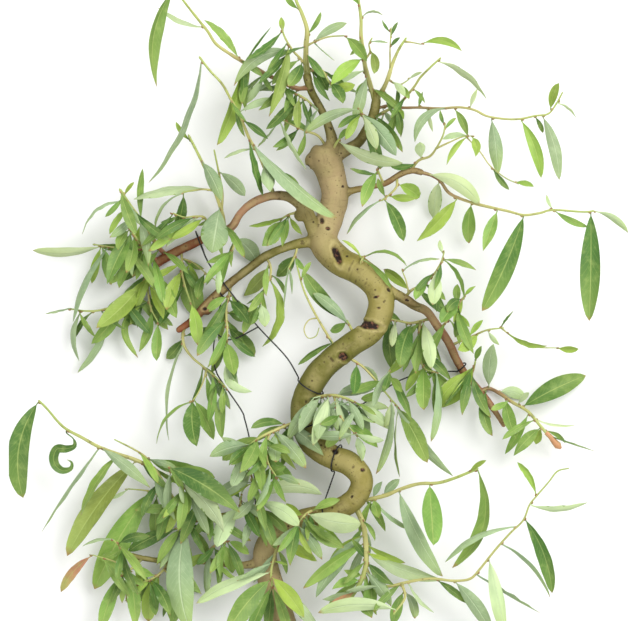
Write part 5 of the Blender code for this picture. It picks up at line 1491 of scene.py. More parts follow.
def brighter(colour: Colour, red: float, green: float, blue: float) -> Colour:
    """A colour with each of its parts scaled."""
    return (min(colour[0] * red, 1.0), min(colour[1] * green, 1.0), min(colour[2] * blue, 1.0), 1.0)


class Bark(Enum):
    """The colour that the bark has on a stretch of the wood."""

    OLIVE = srgb(140, 130, 64)
    TAN = srgb(136, 120, 80)
    PINK = srgb(168, 146, 106)
    ROSE = srgb(164, 120, 92)
    GREEN = srgb(106, 104, 40)
    BROWN = srgb(128, 94, 60)
    RED = srgb(128, 60, 36)
    DARK = srgb(92, 82, 36)


class Skin(Enum):
    """The colour of a shoot's skin."""

    YELLOW = srgb(180, 176, 108)
    LIME = srgb(158, 176, 92)
    OLIVE = srgb(132, 132, 70)
    BROWN = srgb(136, 100, 68)
    RED = srgb(148, 88, 66)
    BUD = srgb(196, 142, 100)


# The bark's colour along the stem and each branch, by its share of the length from the first row
BARK_STRETCHES: dict[str, tuple[tuple[float, Bark], ...]] = {
    "stem": ((0.0, Bark.TAN), (0.05, Bark.PINK), (0.14, Bark.PINK), (0.2, Bark.OLIVE), (0.3, Bark.OLIVE),
             (0.37, Bark.GREEN), (0.5, Bark.GREEN), (0.58, Bark.OLIVE), (0.76, Bark.OLIVE), (0.86, Bark.PINK),
             (1.0, Bark.PINK)),
    "arching": ((0.0, Bark.OLIVE), (0.28, Bark.TAN), (0.42, Bark.ROSE), (0.6, Bark.ROSE), (0.72, Bark.RED),
                (1.0, Bark.RED)),
    "left": ((0.0, Bark.OLIVE), (0.2, Bark.GREEN), (0.5, Bark.DARK), (0.75, Bark.BROWN), (1.0, Bark.RED)),
    "right": ((0.0, Bark.OLIVE), (0.4, Bark.BROWN), (1.0, Bark.BROWN)),
    "low_right": ((0.0, Bark.OLIVE), (0.22, Bark.TAN), (0.34, Bark.ROSE), (0.7, Bark.RED), (1.0, Bark.ROSE)),
    "snag": ((0.0, Bark.BROWN), (1.0, Bark.DARK)),
    "leader": ((0.0, Bark.TAN), (0.3, Bark.DARK), (1.0, Bark.GREEN)),
    "fork": ((0.0, Bark.TAN), (0.3, Bark.DARK), (1.0, Bark.GREEN)),
    "lower_left": ((0.0, Bark.OLIVE), (0.5, Bark.GREEN), (0.8, Bark.OLIVE), (1.0, Bark.ROSE)),
    "bottom_left": ((0.0, Bark.PINK), (0.3, Bark.OLIVE), (1.0, Bark.GREEN)),
}

# Pruning scars and knots on the bark, and at (322, 220) a dark patch of painted shade in the crotch of the
# arching
# branch: grid point, half length, half width, angle, and the hollow's depth and darkness
KNOTS = (
    (337, 255, 11.5, 4.6, 72, 2.6, 1.0), (369, 325, 13.5, 5.2, 12, 1.7, 0.9),
    (343, 357, 6.5, 5.0, 30, 2.2, 1.0), (335, 451, 4.6, 3.6, 60, 1.2, 0.8),
    (363, 470, 3.2, 2.6, 0, 0.8, 0.75), (328, 228, 3.6, 2.6, 20, 1.0, 0.9),
    # This row is painted shade in the crotch of the arching branch, not a knot
    (322, 220, 4.4, 3.2, 80, 0.8, 0.7), (376, 297, 4.4, 1.6, -20, 0.5, 0.8),
    (281, 603, 2.6, 2.2, 0, 1.1, 1.0), (285, 610, 2.2, 1.8, 0, 0.9, 1.0),
    (262, 512, 2.6, 1.8, 40, 0.8, 0.9), (379, 308, 2.2, 1.6, 0, 0.4, 0.7),
    (308, 166, 3.0, 2.0, 70, 0.7, 0.7), (343, 186, 2.0, 1.5, 0, 0.4, 0.8),
    (347, 256, 2.0, 1.4, 0, 0.4, 0.7), (316, 262, 2.2, 1.6, 0, 0.4, 0.7),
    (389, 290, 3.4, 2.0, 40, 0.7, 0.7), (204, 309, 3.0, 2.4, 0, 0.7, 0.8),
    (270, 560, 2.4, 1.7, 90, 0.6, 0.8), (306, 402, 2.2, 1.5, 90, 0.4, 0.6),
    (352, 497, 2.4, 1.6, 120, 0.5, 0.7), (407, 300, 2.6, 1.6, 30, 0.5, 0.8),
    (331, 128, 2.2, 1.4, 80, 0.4, 0.8),
)

# Shoots that are woody at their base: how far along, and the colour there
WOODY_SHOOTS: dict[str, tuple[float, Skin]] = {
    "shoot_top_left": (0.42, Skin.BROWN),
    "shoot_leader": (0.35, Skin.OLIVE),
    "shoot_tine_left": (0.3, Skin.OLIVE),
    "shoot_tine_right": (0.3, Skin.OLIVE),
    "shoot_tip_upright": (0.25, Skin.RED),
    "shoot_tip_left": (0.3, Skin.RED),
    "shoot_tip_down": (0.3, Skin.RED),
    "shoot_far_twig": (0.35, Skin.BROWN),
    "shoot_low_end": (0.35, Skin.BROWN),
    "shoot_right_long": (0.3, Skin.BROWN),
    "shoot_right_base": (0.3, Skin.OLIVE),
    "shoot_bottom_tip": (0.25, Skin.OLIVE),
}

# Stems that are no more than a swelling bud
BUDS = (("shoot_low_end", 1),)

# The upper and the under face of the leaves of each tone
LEAF_COLOURS: dict[Tone, tuple[Colour, Colour]] = {
    Tone.BRIGHT: (srgb(152, 184, 74), srgb(176, 194, 120)),
    Tone.MID: (srgb(121, 157, 69), srgb(150, 174, 114)),
    Tone.DARK: (srgb(76, 115, 43), srgb(120, 148, 94)),
    Tone.OLIVE: (srgb(130, 148, 68), srgb(150, 160, 102)),
    Tone.GREY: (srgb(104, 139, 70), srgb(146, 168, 124)),
    Tone.PALE: (srgb(124, 158, 80), srgb(188, 206, 154)),
    Tone.DRY: (srgb(182, 126, 96), srgb(188, 150, 118)),
}

# Where the foliage is thick: the middle and half axes of each patch on the grid, and the tones of its leaves
THICKETS = (
    (286, 96, 64, 56, "DDDMG"), (378, 172, 60, 42, "DMMG"), (150, 232, 70, 48, "MDBG"),
    (136, 296, 70, 56, "MDBMD"), (226, 316, 62, 70, "MDMD"), (300, 412, 92, 42, "GGMPD"),
    (425, 335, 60, 72, "MDBD"), (446, 262, 44, 38, "MBG"), (225, 462, 92, 52, "MGDBM"),
    (210, 562, 114, 72, "MMDGB"), (330, 560, 88, 70, "BMGM"), (456, 420, 48, 30, "DMD"),
    (505, 432, 40, 26, "DMM"), (372, 108, 38, 44, "DMG"), (250, 232, 46, 34, "GMD"),
)

# The rows of the grid between which leaves hide the stem
COVERED = ((396, 446), (528, 590))

# A leaf that is curled like a corkscrew: its base and tip on the grid, and the line that its midrib follows
CURLED_LEAVES: dict[tuple[float, float, float, float], tuple[tuple[float, float], ...]] = {
    (68, 430, 56, 464): (
        (66, 433), (73, 439), (74, 446), (66, 449), (57, 449), (53, 457), (55, 466), (62, 471),
        (70, 469), (71, 463), (66, 460),
    ),
}


class Mark(NamedTuple):
    """What the finishes read at a point: its place along, round and across, a chance, and two colours."""

    along: float = 0.0
    turn: float = 0.5
    across: float = 0.0
    chance: float = 0.0
    paint: Colour = (1.0, 1.0, 1.0, 1.0)
    under: Colour = (1.0, 1.0, 1.0, 1.0)


@dataclass
class Mesh:
    """The mesh of a piece while it is built: points with marks, and faces with material numbers."""

    verts: list[Vector] = field(default_factory=list)
    marks: list[Mark] = field(default_factory=list)
    faces: list[Face] = field(default_factory=list)
    slots: list[int] = field(default_factory=list)

    def face(self, corners: Iterable[int], slot: int = 0) -> None:
        """Adds a face with the number of its material."""
        self.faces.append(tuple(corners))
        self.slots.append(slot)

    def tube(self, rings: Sequence[Route], marks: Sequence[Sequence[Mark]], slots: Sequence[int]) -> None:
        """Adds a closed tube.

        Args:
            rings: Its rings of points, all alike in number.
            marks: The marks of each ring's points.
            slots: The material number of each side.
        """
        sides, first = len(slots), len(self.verts)
        for ring, row in zip(rings, marks):
            self.verts += ring
            self.marks += row
        last = len(self.verts) - sides
        self.face(range(first, first + sides), slots[0])
        for a in range(first, last):
            side = (a - first) % sides
            b = a + 1 if side < sides - 1 else a + 1 - sides
            self.face((a, a + sides, b + sides, b), slots[side])
        self.face(range(last + sides - 1, last - 1, -1), slots[0])

    def held_in(self, low: Vector, high: Vector) -> None:
        """Moves what stands out of a box onto its sides."""
        for vert in self.verts:
            for axis in range(3):
                vert[axis] = max(low[axis], min(high[axis], vert[axis]))

    def piece(self, name: str, looks: Sequence[bpy.types.Material], node: str = "",
              slot: str = "") -> bpy.types.Object:
        """Makes the object.

        Args:
            name: The piece's name.
            looks: Its materials, by number.
            node: The solid that it takes the place of, if any.
            slot: The material slot of that solid; not used.

        Returns:
            The object, linked to the scene.
        """
        mesh = bpy.data.meshes.new(name)
        mesh.from_pydata([tuple(vert) for vert in self.verts], [], self.faces)
        for look in looks:
            mesh.materials.append(look)
        mesh.polygons.foreach_set("material_index", self.slots)
        for mark, values in zip(Mark._fields, zip(*self.marks)):
            add_mark(mesh, mark, np.array(values))
        mesh.shade_smooth()
        made = bpy.data.objects.new(name, mesh)
        bpy.context.scene.collection.objects.link(made)
        if node:
            ride_for(made, node)
        return made


def add_mark(mesh: bpy.types.Mesh, name: str, values: np.ndarray) -> None:
    """Keeps a number or a colour at each point of a mesh, by its name."""
    kind, key = ("FLOAT_COLOR", "color") if values.ndim == 2 else ("FLOAT", "value")
    mesh.attributes.new(name, kind, "POINT").data.foreach_set(key, values.ravel())


def ride_for(made: bpy.types.Object, node: str) -> None:
    """Puts a piece in the place of a solid."""
    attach(made, "root")
    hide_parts(node)


def thicket_tones(x: float, y: float) -> str:
    """The tones of the leaves where the foliage is thick round a grid point, or nothing elsewhere."""
    for mid_x, mid_y, wide, high, tones in THICKETS:
        if ((x - mid_x) / wide) ** 2 + ((y - mid_y) / high) ** 2 < 1:
            return tones
    return ""


def extra_leaves(shoot: str, routes: list[Route], wood: Wood) -> list[Leaf]:
    """Small leaves for the thick patches of a shoot, drooping from points along its stems, clear of the wood.

    Args:
        shoot: The shoot's name.
        routes: The routes of its stems.
        wood: The stem and its branches, which stay in sight.

    Returns:
        The leaves, on the grid.
    """
    draw = random.Random(f"extra {shoot}")
    droop, splay, spread = EXTRA_SLOPE
    found = []
    for route in routes:
        for step, point in enumerate(evenly(route, EXTRA_STEP)[1:]):
            x, y = grid_of(point)
            slope = math.radians(draw.gauss(droop + (splay if step % 2 else -splay), spread))
            reach, plump = draw.uniform(*EXTRA_REACH), draw.uniform(*EXTRA_PLUMPNESS)
            bow, tone = draw.uniform(*EXTRA_BOW), draw.random()
            tip_x, tip_y = x + reach * math.cos(slope), y + reach * math.sin(slope)
            tones = thicket_tones(tip_x, tip_y)
            if not (tones and thicket_tones(x, y)):
                continue
            spots = [place(x + (tip_x - x) * share, y + (tip_y - y) * share, 0).xy for share in EXTRA_SHARES]
            covered = any(low < tip_y < high for low, high in COVERED)
            if covered or all(wood.gap_beside(spot) > EXTRA_GAP for spot in spots):
                found.append(Leaf(round(x), round(y), round(tip_x), round(tip_y), round(reach * plump, 1),
                                  tones[int(tone * len(tones))], round(bow)))
    return found


@dataclass
class WoodPiece:
    """The bark of the stem and its branches, grown as one skin."""

    wood: Wood
    name: str = "willow_bark"
    node: str = "willow_wood"
    ring_step: float = 1.6 * MM
    sides: int = 22
    voxel: float = 0.95 * MM
    swell: float = 0.05 * MM
    lump: float = 0.38 * MM
    lump_scale: float = 75.0
    ridge: float = 0.16 * MM
    blend: float = 2.4 * MM
    rim_height: float = 0.45 * MM
    tip_rings: int = 4
    ball_rows: int = 14
    cut_depth: float = 0.5 * MM
    rag_scale: float = 330.0
    raggedness: float = 0.22
    branch_shift: float = 3.7
    grain_along: float = 90.0
    grain_round: float = 9.0

    def branch_rings(self, name: str) -> list[Route]:
        """The rings of a branch's plain tube, rounded at its end, or the stem's, which ends in a saw cut."""
        route = routed(BRANCHES[name], self.ring_step)
        ways = directions(route)
        rings = [ring_round(p.xyz, way, p.w + self.swell, self.sides) for p, way in zip(route, ways)]
        last, way = route[-1], ways[-1]
        for step in range(1, self.tip_rings + 1 if name != "stem" else 1):
            angle = 0.5 * math.pi * step / (self.tip_rings + 0.6)
            centre = last.xyz + way * (last.w * 0.9 * math.sin(angle))
            rings.append(ring_round(centre, way, last.w * math.cos(angle), self.sides))
        return rings

    def ball_rings(self, x: float, y: float, height: float, radius: float) -> list[Route]:
        """The rings of a ball, by its grid point, height and radius."""
        up, rings = Vector((0, 0, 1)), []
        for step in range(1, self.ball_rows):
            angle = math.pi * step / self.ball_rows
            centre = place(x, y, height - radius * math.cos(angle))
            rings.append(ring_round(centre, up, radius * MM * math.sin(angle) + self.swell, self.sides))
        return rings

    def rough(self, look: bpy.types.Material) -> bpy.types.Object:
        """The stem, branches and burls joined into one body by a fine remesh."""
        mesh = Mesh()
        for rings in [*map(self.branch_rings, BRANCHES), *(self.ball_rings(*burl) for burl in BURLS)]:
            mesh.tube(rings, [[Mark()] * self.sides] * len(rings), [0] * self.sides)
        body = mesh.piece(self.name, [look])
        remesh = body.modifiers.new("one_skin", "REMESH")
        remesh.mode = "VOXEL"
        remesh.voxel_size = self.voxel
        ease = body.modifiers.new("ease", "SMOOTH")
        ease.factor, ease.iterations = 0.5, 4
        plain = body.data
        graph = bpy.context.evaluated_depsgraph_get()
        body.data = bpy.data.meshes.new_from_object(body.evaluated_get(graph))
        body.modifiers.clear()
        bpy.data.meshes.remove(plain)
        return body

    def knots_on(self, points: np.ndarray) -> tuple[np.ndarray, np.ndarray, np.ndarray]:
        """The scars, knots and a patch of painted shade: how deep the bark is sunk, how dark it is and how
        much of a rim it has.

        Args:
            points: The points of the bark, one a row.

        Returns:
            The three values at each point.
        """
        sunk, dark, rim = (np.zeros(len(points)) for _ in range(3))
        ragged = np.array([noise.noise(Vector(point) * self.rag_scale) for point in points])
        for x, y, half_length, half_width, angle, depth, darkness in KNOTS:
            centre = self.wood.nearest(x, y)
            spot = place(x, y, 0)
            turn = math.radians(-angle)
            flat = points[:, :2] - np.array(spot.xy)
            along = (flat[:, 0] * math.cos(turn) + flat[:, 1] * math.sin(turn)) / (half_length * GRID)
            across = (flat[:, 1] * math.cos(turn) - flat[:, 0] * math.sin(turn)) / (half_width * GRID)
            away = np.sqrt(along**2 + across**2) + self.raggedness * ragged
            away = np.where(points[:, 2] > centre.z - 0.3 * centre.w, away, 9.0)
            sunk += depth * MM * np.clip(1 - away**2, 0, 1) ** 0.7
            # How dark each scar and knot is, and the painted shade in the crotch at (322, 220)
            dark = np.maximum(dark, darkness * np.clip((1.0 - away) / 0.4, 0, 1))
            ring = np.exp(-((away - 1.2) / 0.2) ** 2) * min(1.0, half_width / 4)
            rim = np.maximum(rim, ring)
        return sunk, dark, rim

    def read_bark(self, points: np.ndarray) -> dict[str, np.ndarray]:
        """What the finish reads at each point of the bark.

        Args:
            points: The points, one a row.

        Returns:
            The colour, the length along and the angle round the nearest branch, and that branch's number.
        """
        count = len(points)
        best = np.full(count, FAR)
        found = {"along": np.zeros(count), "turn": np.zeros(count), "branch": np.zeros(count)}
        weight = np.zeros(count)
        colour = np.zeros((count, 4))
        for number, (name, route) in enumerate(self.wood.routes.items()):
            gap, along, turn, share = self.read_branch(points, route)
            near = gap < best
            best[near] = gap[near]
            found["along"][near] = along[near]
            found["turn"][near] = turn[near]
            found["branch"][near] = number * self.branch_shift
            stretch = np.array([spot for spot, _ in BARK_STRETCHES[name]])
            looks = np.array([bark.value for _, bark in BARK_STRETCHES[name]])
            paint = np.stack([np.interp(share, stretch, looks[:, part]) for part in range(4)], axis=1)
            pull = np.exp(-np.clip(gap / self.blend, -0.5, 8) * 2)
            colour += paint * pull[:, None]
            weight += pull
        found["paint"] = colour / weight[:, None]
        return found

    def saw_cut(self, points: np.ndarray) -> tuple[np.ndarray, np.ndarray]:
        """The saw cut at the stem's lower end.

        Args:
            points: The points of the bark, one a row.

        Returns:
            1 on the cut and 0 elsewhere, and how far each point is from the pith, in radii.
        """
        route = self.wood.routes["stem"]
        end, way = route[-1], np.array(directions(route)[-1])
        away = points - np.array(end.xyz)
        out = away @ way
        reach = np.linalg.norm(away - out[:, None] * way, axis=1) / end.w
        return ((out > -self.cut_depth) & (reach < 0.98)).astype(float), np.minimum(reach, 3.0)

    @staticmethod
    def read_branch(points: np.ndarray, route: Route) -> tuple[np.ndarray, ...]:
        """The gap to a branch's skin, the length along it, the angle round it and the share of its length.

        Args:
            points: The points, one a row.
            route: The branch's route.

        Returns:
            The four values at each point.
        """
        sums = lengths_of(route)
        gap = np.full(len(points), FAR)
        along, turn = np.zeros(len(points)), np.zeros(len(points))
        for index, (start, end) in enumerate(zip(route, route[1:])):
            head, run = np.array(start.xyz), np.array(end.xyz - start.xyz)
            share = np.clip((points - head) @ run / (run @ run), 0, 1)
            away = points - head - share[:, None] * run
            reach = np.linalg.norm(away, axis=1)
            here = reach - (start.w + (end.w - start.w) * share)
            near = here < gap
            gap[near] = here[near]
            along[near] = (sums[index] + share * (sums[index + 1] - sums[index]))[near]
            side = np.cross(run, (0, 0, 1))
            side /= np.linalg.norm(side)
            angle = np.abs(np.arctan2(away @ side, away[:, 2]))
            turn[near] = (angle / math.pi)[near]
        return gap, along, turn, along / sums[-1]

    def build(self, look: bpy.types.Material) -> bpy.types.Object:
        """Makes the bark piece.

        Args:
            look: Its material.

        Returns:
            The object.
        """
        body = self.rough(look)
        mesh = body.data
        count = len(mesh.vertices)
        flat = np.zeros(count * 3)
        mesh.vertices.foreach_get("co", flat)
        points = flat.reshape(-1, 3)
        mesh.vertices.foreach_get("normal", normals := np.zeros(count * 3))
        normals = normals.reshape(-1, 3)
        found = self.read_bark(points)
        raised = np.zeros(count)
        for index in range(count):
            spot = Vector(points[index])
            lump = noise.noise(spot * self.lump_scale) + 0.5 * noise.noise(spot * self.lump_scale * 2.3)
            along, turn = found["along"][index] * self.grain_along, found["turn"][index] * self.grain_round
            grain = noise.noise(Vector((along, turn, found["branch"][index])))
            raised[index] = self.lump * lump + self.ridge * grain
        sunk, scar, rim = self.knots_on(points)
        cut, reach = self.saw_cut(points)
        raised = (raised + rim * self.rim_height - sunk) * (1 - cut)
        points += normals * raised[:, None]
        points[:, 2] = np.maximum(points[:, 2], 0.0)
        mesh.vertices.foreach_set("co", points.ravel())
        for name, values in {**found, "scar": scar, "rim": rim, "cut": cut, "reach": reach}.items():
            add_mark(mesh, name, values)
        mesh.shade_smooth()
        mesh.update()
        ride_for(body, self.node)
        return body


@dataclass
class ShootPiece:
    """One leafy shoot: its stems with their buds, and every leaf on them."""

    name: str
    stems: list[Route]
    blades: list[Blade]
    box: tuple[Vector, Vector]
    stem_sides: int = 9
    flare: float = 0.35
    flare_reach: float = 5.0 * MM
    knuckle: float = 0.12
    stalk: float = 3.4 * MM
    stalk_half: float = 0.42 * MM
    stalk_share: float = 0.14
    stalked_share: float = 0.02
    stalk_thick: float = 0.3 * MM
    stalk_deep: float = 0.25 * MM
    leaf_rings: tuple[int, int] = (9, 22)
    crease: float = math.radians(62)
    leaf_step: float = 3.2 * MM
    midrib: float = 0.34 * MM
    thin: float = 0.2 * MM
    curl_width: float = 1.05
    curl_drop: float = 0.9
    curl_step: float = 1.3 * MM
    bud_length: float = 2.6 * MM
    bud_width: float = 0.75 * MM
    across: tuple[float, ...] = (-1.0, -0.66, -0.33, 0.0, 0.33, 0.66, 1.0)

    def skin_colour(self, number: int, share: float) -> Colour:
        """The colour of a stem's skin at a share of its length."""
        if (self.name, number) in BUDS:
            return Skin.BUD.value
        reach, base = WOODY_SHOOTS.get(self.name, (0.14, Skin.OLIVE))
        if number:
            reach *= 0.5
        green = blended(Skin.YELLOW.value, Skin.LIME.value, eased(0.4, 1.0, share))
        return blended(base.value, green, eased(reach * 0.4, reach * 1.5 + 0.02, share))

    def add_stem(self, mesh: Mesh, number: int, route: Route) -> None:
        """Adds a stem: a tube that flares where it springs, swells at its knuckles and closes at its tip.

        Args:
            mesh: The mesh that it goes into.
            number: The stem's number.
            route: Its route.
        """
        sums, ways = lengths_of(route), directions(route)
        chance = random.Random(f"stem {self.name} {number}").random()
        rings, marks = [], []
        for point, along, here in zip(route, ways, sums):
            radius = point.w * (1 + self.flare * (1 - eased(0, self.flare_reach, here)))
            radius *= 1 + self.knuckle * noise.noise(point.xyz * 260)
            rings.append(ring_round(point.xyz, along, radius, self.stem_sides))
            paint = self.skin_colour(number, here / sums[-1])
            marks.append([Mark(here, turn, 0.0, chance, paint, paint) for turn in self.stem_turns()])
        end, way = route[-1], ways[-1]
        rings.append(ring_round(end.xyz + way * end.w * 1.2, way, end.w * 0.3, self.stem_sides))
        marks.append(marks[-1])
        mesh.tube(rings, marks, [0] * self.stem_sides)

    def stem_turns(self) -> list[float]:
        """How far round a stem each side lies, from 0 on one flank to 1 and back."""
        return [abs(2 * corner / self.stem_sides - 1) for corner in range(self.stem_sides)]

    def seat(self, root: Vector) -> tuple[Vector, Vector, float]:
        """The point, direction and radius of the stem nearest to a leaf's root."""
        best = None
        for route in self.stems:
            for point, along in zip(route, directions(route)):
                gap = (point.xyz - root).length
                if best is None or gap < best[0]:
                    best = (gap, point.xyz, along, point.w)
        assert best is not None
        return best[1], best[2], best[3]

    def add_bud(self, mesh: Mesh, blade: Blade, chance: float) -> None:
        """Adds the small bud that sits over a leaf's stalk, pressed to its stem."""
        seat, along, radius = self.seat(blade.root)
        out = (blade.at(0.3) - seat).normalized()
        if along.dot(out) < 0:
            along = -along
        out = (out - along * out.dot(along)).normalized()
        start = seat + out * radius * 0.75
        paint = blended(Skin.OLIVE.value, Skin.RED.value, 0.3 + 0.5 * chance)
        rings = []
        for share in (0.0, 0.2, 0.4, 0.6, 0.8, 1.0):
            half = self.bud_width * math.sin(math.pi * (0.12 + 0.83 * share) ** 0.8) ** 0.8
            centre = start + along * (self.bud_length * share) + out * (0.45 * MM * math.sin(math.pi * share))
            rings.append(ring_round(centre, (along + out * 0.15).normalized(), half, 6))
        mesh.tube(rings, [[Mark(0.5, 0.5, 0.0, chance, paint, paint)] * 6] * len(rings), [0] * 6)

    def half_width(self, blade: Blade, t: float, start: float, blunt: float) -> float:
        """Half of a leaf's width at a place along it.

        Args:
            blade: The leaf in space.
            t: The place, from 0 at its base to 1 at its tip.
            start: Where its stalk ends.
            blunt: How round its tip is, from 0 to 1.

        Returns:
            The half width in metres.
        """
        if t <= start:
            return self.stalk_half
        u = (t - start) / (1 - start)
        shape = math.sin(math.pi * u ** (0.82 + 0.34 * blunt)) ** (0.92 - 0.36 * blunt) if u < 1 else 0.0
        shape *= 1 - 0.2 * (1 - blunt) * eased(0.6, 0.95, u)
        return max(0.5 * blade.real_width * shape, self.stalk_half * (1 - u) ** 0.5, 0.06 * MM)

    def curled(self, seat: Vector, line: Sequence[tuple[float, float]]) -> list[tuple[Vector, Vector, float]]:
        """The midrib of a leaf that is curled like a corkscrew.

        Args:
            seat: Where it springs.
            line: The grid points that it follows.

        Returns:
            Points of the midrib with its direction and the share of its length there.
        """
        height = seat.z / MM
        points = [Vector((*seat, 0))]
        for step, (x, y) in enumerate(line, 1):
            points.append(Vector((*place(x, y, height - self.curl_drop * step), 0)))
        route = smooth(points, self.curl_step)
        sums, ways = lengths_of(route), directions(route)
        return [(point.xyz, along, here / sums[-1]) for point, along, here in zip(route, ways, sums)]

    def add_leaf(self, mesh: Mesh, blade: Blade) -> None:
        """Adds a leaf: a stalk, then a thin folded blade with a raised midrib, twisted and waved a little.

        Args:
            mesh: The mesh that it goes into.
            blade: The leaf in space.
        """
        leaf = blade.leaf
        draw = random.Random(f"look {leaf.words}")
        chance = draw.random()
        twist, fold = draw.uniform(-0.35, 0.35), draw.uniform(0.16, 0.42)
        blunt = draw.choice((0.25, 0.55, 0.75, 0.9, 1.0))
        wave, beats, phase = draw.uniform(0.1, 0.5) * MM, draw.uniform(2.0, 4.5), draw.uniform(0, 6.28)
        bright = draw.uniform(0.8, 1.18)
        top_colour, low_colour = LEAF_COLOURS[blade.tone]
        upper = brighter(top_colour, bright * draw.uniform(0.92, 1.12), bright, bright * 0.95)
        under = brighter(low_colour, bright * draw.uniform(0.95, 1.06), bright, bright)
        length = (blade.tip - blade.base).length
        start = self.stalked_share if blade.stalked else min(self.stalk / length, self.stalk_share)
        fewest, most = self.leaf_rings
        count = max(fewest, min(most, round(length / self.leaf_step)))
        places = [start * 0.5, start] if not blade.stalked else []
        places += [start + (1 - start) * (step / count) ** 1.08 for step in range(1, count + 1)]
        seat = self.seat(blade.root)[0]
        spine: list[tuple[Vector, Vector, float]] = [(seat, (blade.at(0.06) - seat).normalized(), 0.0)]
        if blade.stalked:
            spine.append((seat.lerp(blade.base, 0.5), (blade.base - seat).normalized(), 0.0))
            spine.append((blade.base, (blade.at(0.05) - seat).normalized(), start))
        spine += [(blade.at(t), blade.way(t), t) for t in places]
        line = CURLED_LEAVES.get(tuple(leaf[:4]))
        if line:
            spine = self.curled(seat, line)
        rings, marks = [], []
        for point, along, t in spine:
            half = self.half_width(blade, t, start, blunt) * (self.curl_width if line else 1)
            turned, over = blade.axes(along, twist * eased(0.1, 1.0, t))
            stalky = 1 - eased(start, start + 0.12, t)
            thick = self.midrib * (1 - 0.7 * eased(0.2, 1.0, t)) + self.stalk_thick * stalky
            row = []
            for side in self.across:
                swing = wave * math.sin(phase + beats * 6.28 * t) * side * side * eased(start, 0.3, t)
                rise = fold * half * abs(side) ** 1.4 + swing * min(half / (3 * MM), 1)
                row.append(point + turned * (side * half) + over * rise)
            for side in self.across[-2:0:-1]:
                near_rib = max(0.0, 1 - abs(side) * 2.2)
                deep = self.thin + (thick - self.thin) * near_rib + self.stalk_deep * stalky
                row.append(row[self.across.index(side)] - over * deep)
            rings.append(row)
            sides = (*self.across, *self.across[-2:0:-1])
            marks.append([Mark(t, 0.5, side, chance, upper, under) for side in sides])
        top = len(self.across) - 1
        mesh.tube(rings, marks, [1] * top + [2] * top)

    def build(self, looks: Sequence[bpy.types.Material]) -> bpy.types.Object:
        """Makes the shoot.

        Args:
            looks: The skin of the stems, and the upper and the under face of the leaves.

        Returns:
            The object.
        """
        mesh = Mesh()
        for number, route in enumerate(self.stems):
            self.add_stem(mesh, number, route)
        for blade in self.blades:
            self.add_leaf(mesh, blade)
            self.add_bud(mesh, blade, random.Random(f"bud {blade.leaf.words}").random())
        mesh.held_in(*self.box)
        made = mesh.piece(f"{self.name}_leaves", looks, self.name, "leaf")
        made.data.set_sharp_from_angle(angle=self.crease)
        return made


@dataclass
class WirePiece:
    """A thin black shaping wire, in one or more runs."""

    name: str
    runs: list[Route]
    box: tuple[Vector, Vector]
    sides: int = 12
    step: float = 1.2 * MM

    def build(self, look: bpy.types.Material) -> bpy.types.Object:
        """Makes the wire.

        Args:
            look: Its material.

        Returns:
            The object.
        """
        mesh = Mesh()
        for run in self.runs:
            route = smooth(run, self.step)
            ways = directions(route)
            rings = [ring_round(p.xyz, way, WIRE_RADIUS * MM, self.sides) for p, way in zip(route, ways)]
            mesh.tube(rings, [[Mark()] * self.sides] * len(rings), [0] * self.sides)
        mesh.held_in(*self.box)
        return mesh.piece(f"{self.name}_black", [look], self.name, "wire")


def straight(rows: Sequence[tuple[float, float, float]]) -> Route:
    """Points of a wire between its windings: x, y and height."""
    return [place(x, y, height) for x, y, height in rows]


def wire_route(points: Route, wood: Wood) -> Route:
    """A smooth wire through points, pushed clear of the wood that it is wound on.

    Args:
        points: The points.
        wood: The wood.

    Returns:
        The wire's route.
    """
    route = smooth([Vector((*point, WIRE_RADIUS * MM)) for point in points], TEST_STEP)
    for _ in range(PUSHES):
        for point in route:
            gap, out = wood.bark_at(point.xyz)
            if gap < WIRE_STAND:
                point.xyz += out * (WIRE_STAND - gap)
    return thinned(route, WIRE_SLACK)


def wire_routes(wood: Wood) -> dict[str, list[Route]]:
    """The shaping wires: each is wound on a branch at one end and on the stem at the other."""
    long_loop = straight((
        (213, 271, 15.5), (206, 259, 16.0), (201, 247, 15.2), (197, 237, 13.0), (195, 231, 8.8),
        (197, 236, 4.4), (201, 246, 3.6), (205, 257, 7.0), (210, 266, 11.0), (216, 273, 12.8),
        (227, 288, 15.4), (245, 311, 18.2), (258, 327, 20.0), (286, 357, 26.0),
    ))
    long_end = wood.round_at("stem", 310, 387, (100, -200), WINDING_GAP)
    link = straight((
        (258, 327, 20.0), (247, 333, 18.8), (234, 339, 17.6), (224, 339, 16.6), (215, 333, 16.0),
    ))
    drop_start = wood.round_at("left", 221, 291, (200, -100), WINDING_GAP)
    drop = straight((
        (216, 318, 15.6), (215, 333, 16.0), (213, 349, 16.0), (214, 366, 15.8), (220, 380, 15.4),
        (232, 398, 15.0), (241, 411, 15.0), (247, 430, 15.0), (252, 455, 15.0), (254, 480, 15.5),
    ))
    drop_end = wood.round_at("lower_left", 249, 515, (100, -200), WINDING_GAP)
    right_start = wood.round_at("low_right", 463, 369, (-190, 100), WINDING_GAP)
    right = straight((
        (440, 372, 10.0), (420, 374, 12.0), (400, 381, 14.5), (380, 393, 17.0), (350, 413, 20.0),
        (328, 425, 23.0),
    ))
    right_end = wood.round_at("stem", 305, 431, (-100, 180), WINDING_GAP)
    short_start = wood.round_at("stem", 338, 460, (-190, 110), WINDING_GAP)
    short_end = wood.round_at("stem", 326, 514, (100, -190), WINDING_GAP)
    return {
        "wire_left": [
            wire_route(long_loop + long_end, wood),
            wire_route(link, wood),
            wire_route(drop_start + drop + drop_end, wood),
        ],
        "wire_right": [wire_route(right_start + right + right_end, wood)],
        "wire_low": [wire_route(short_start + short_end, wood)],
    }


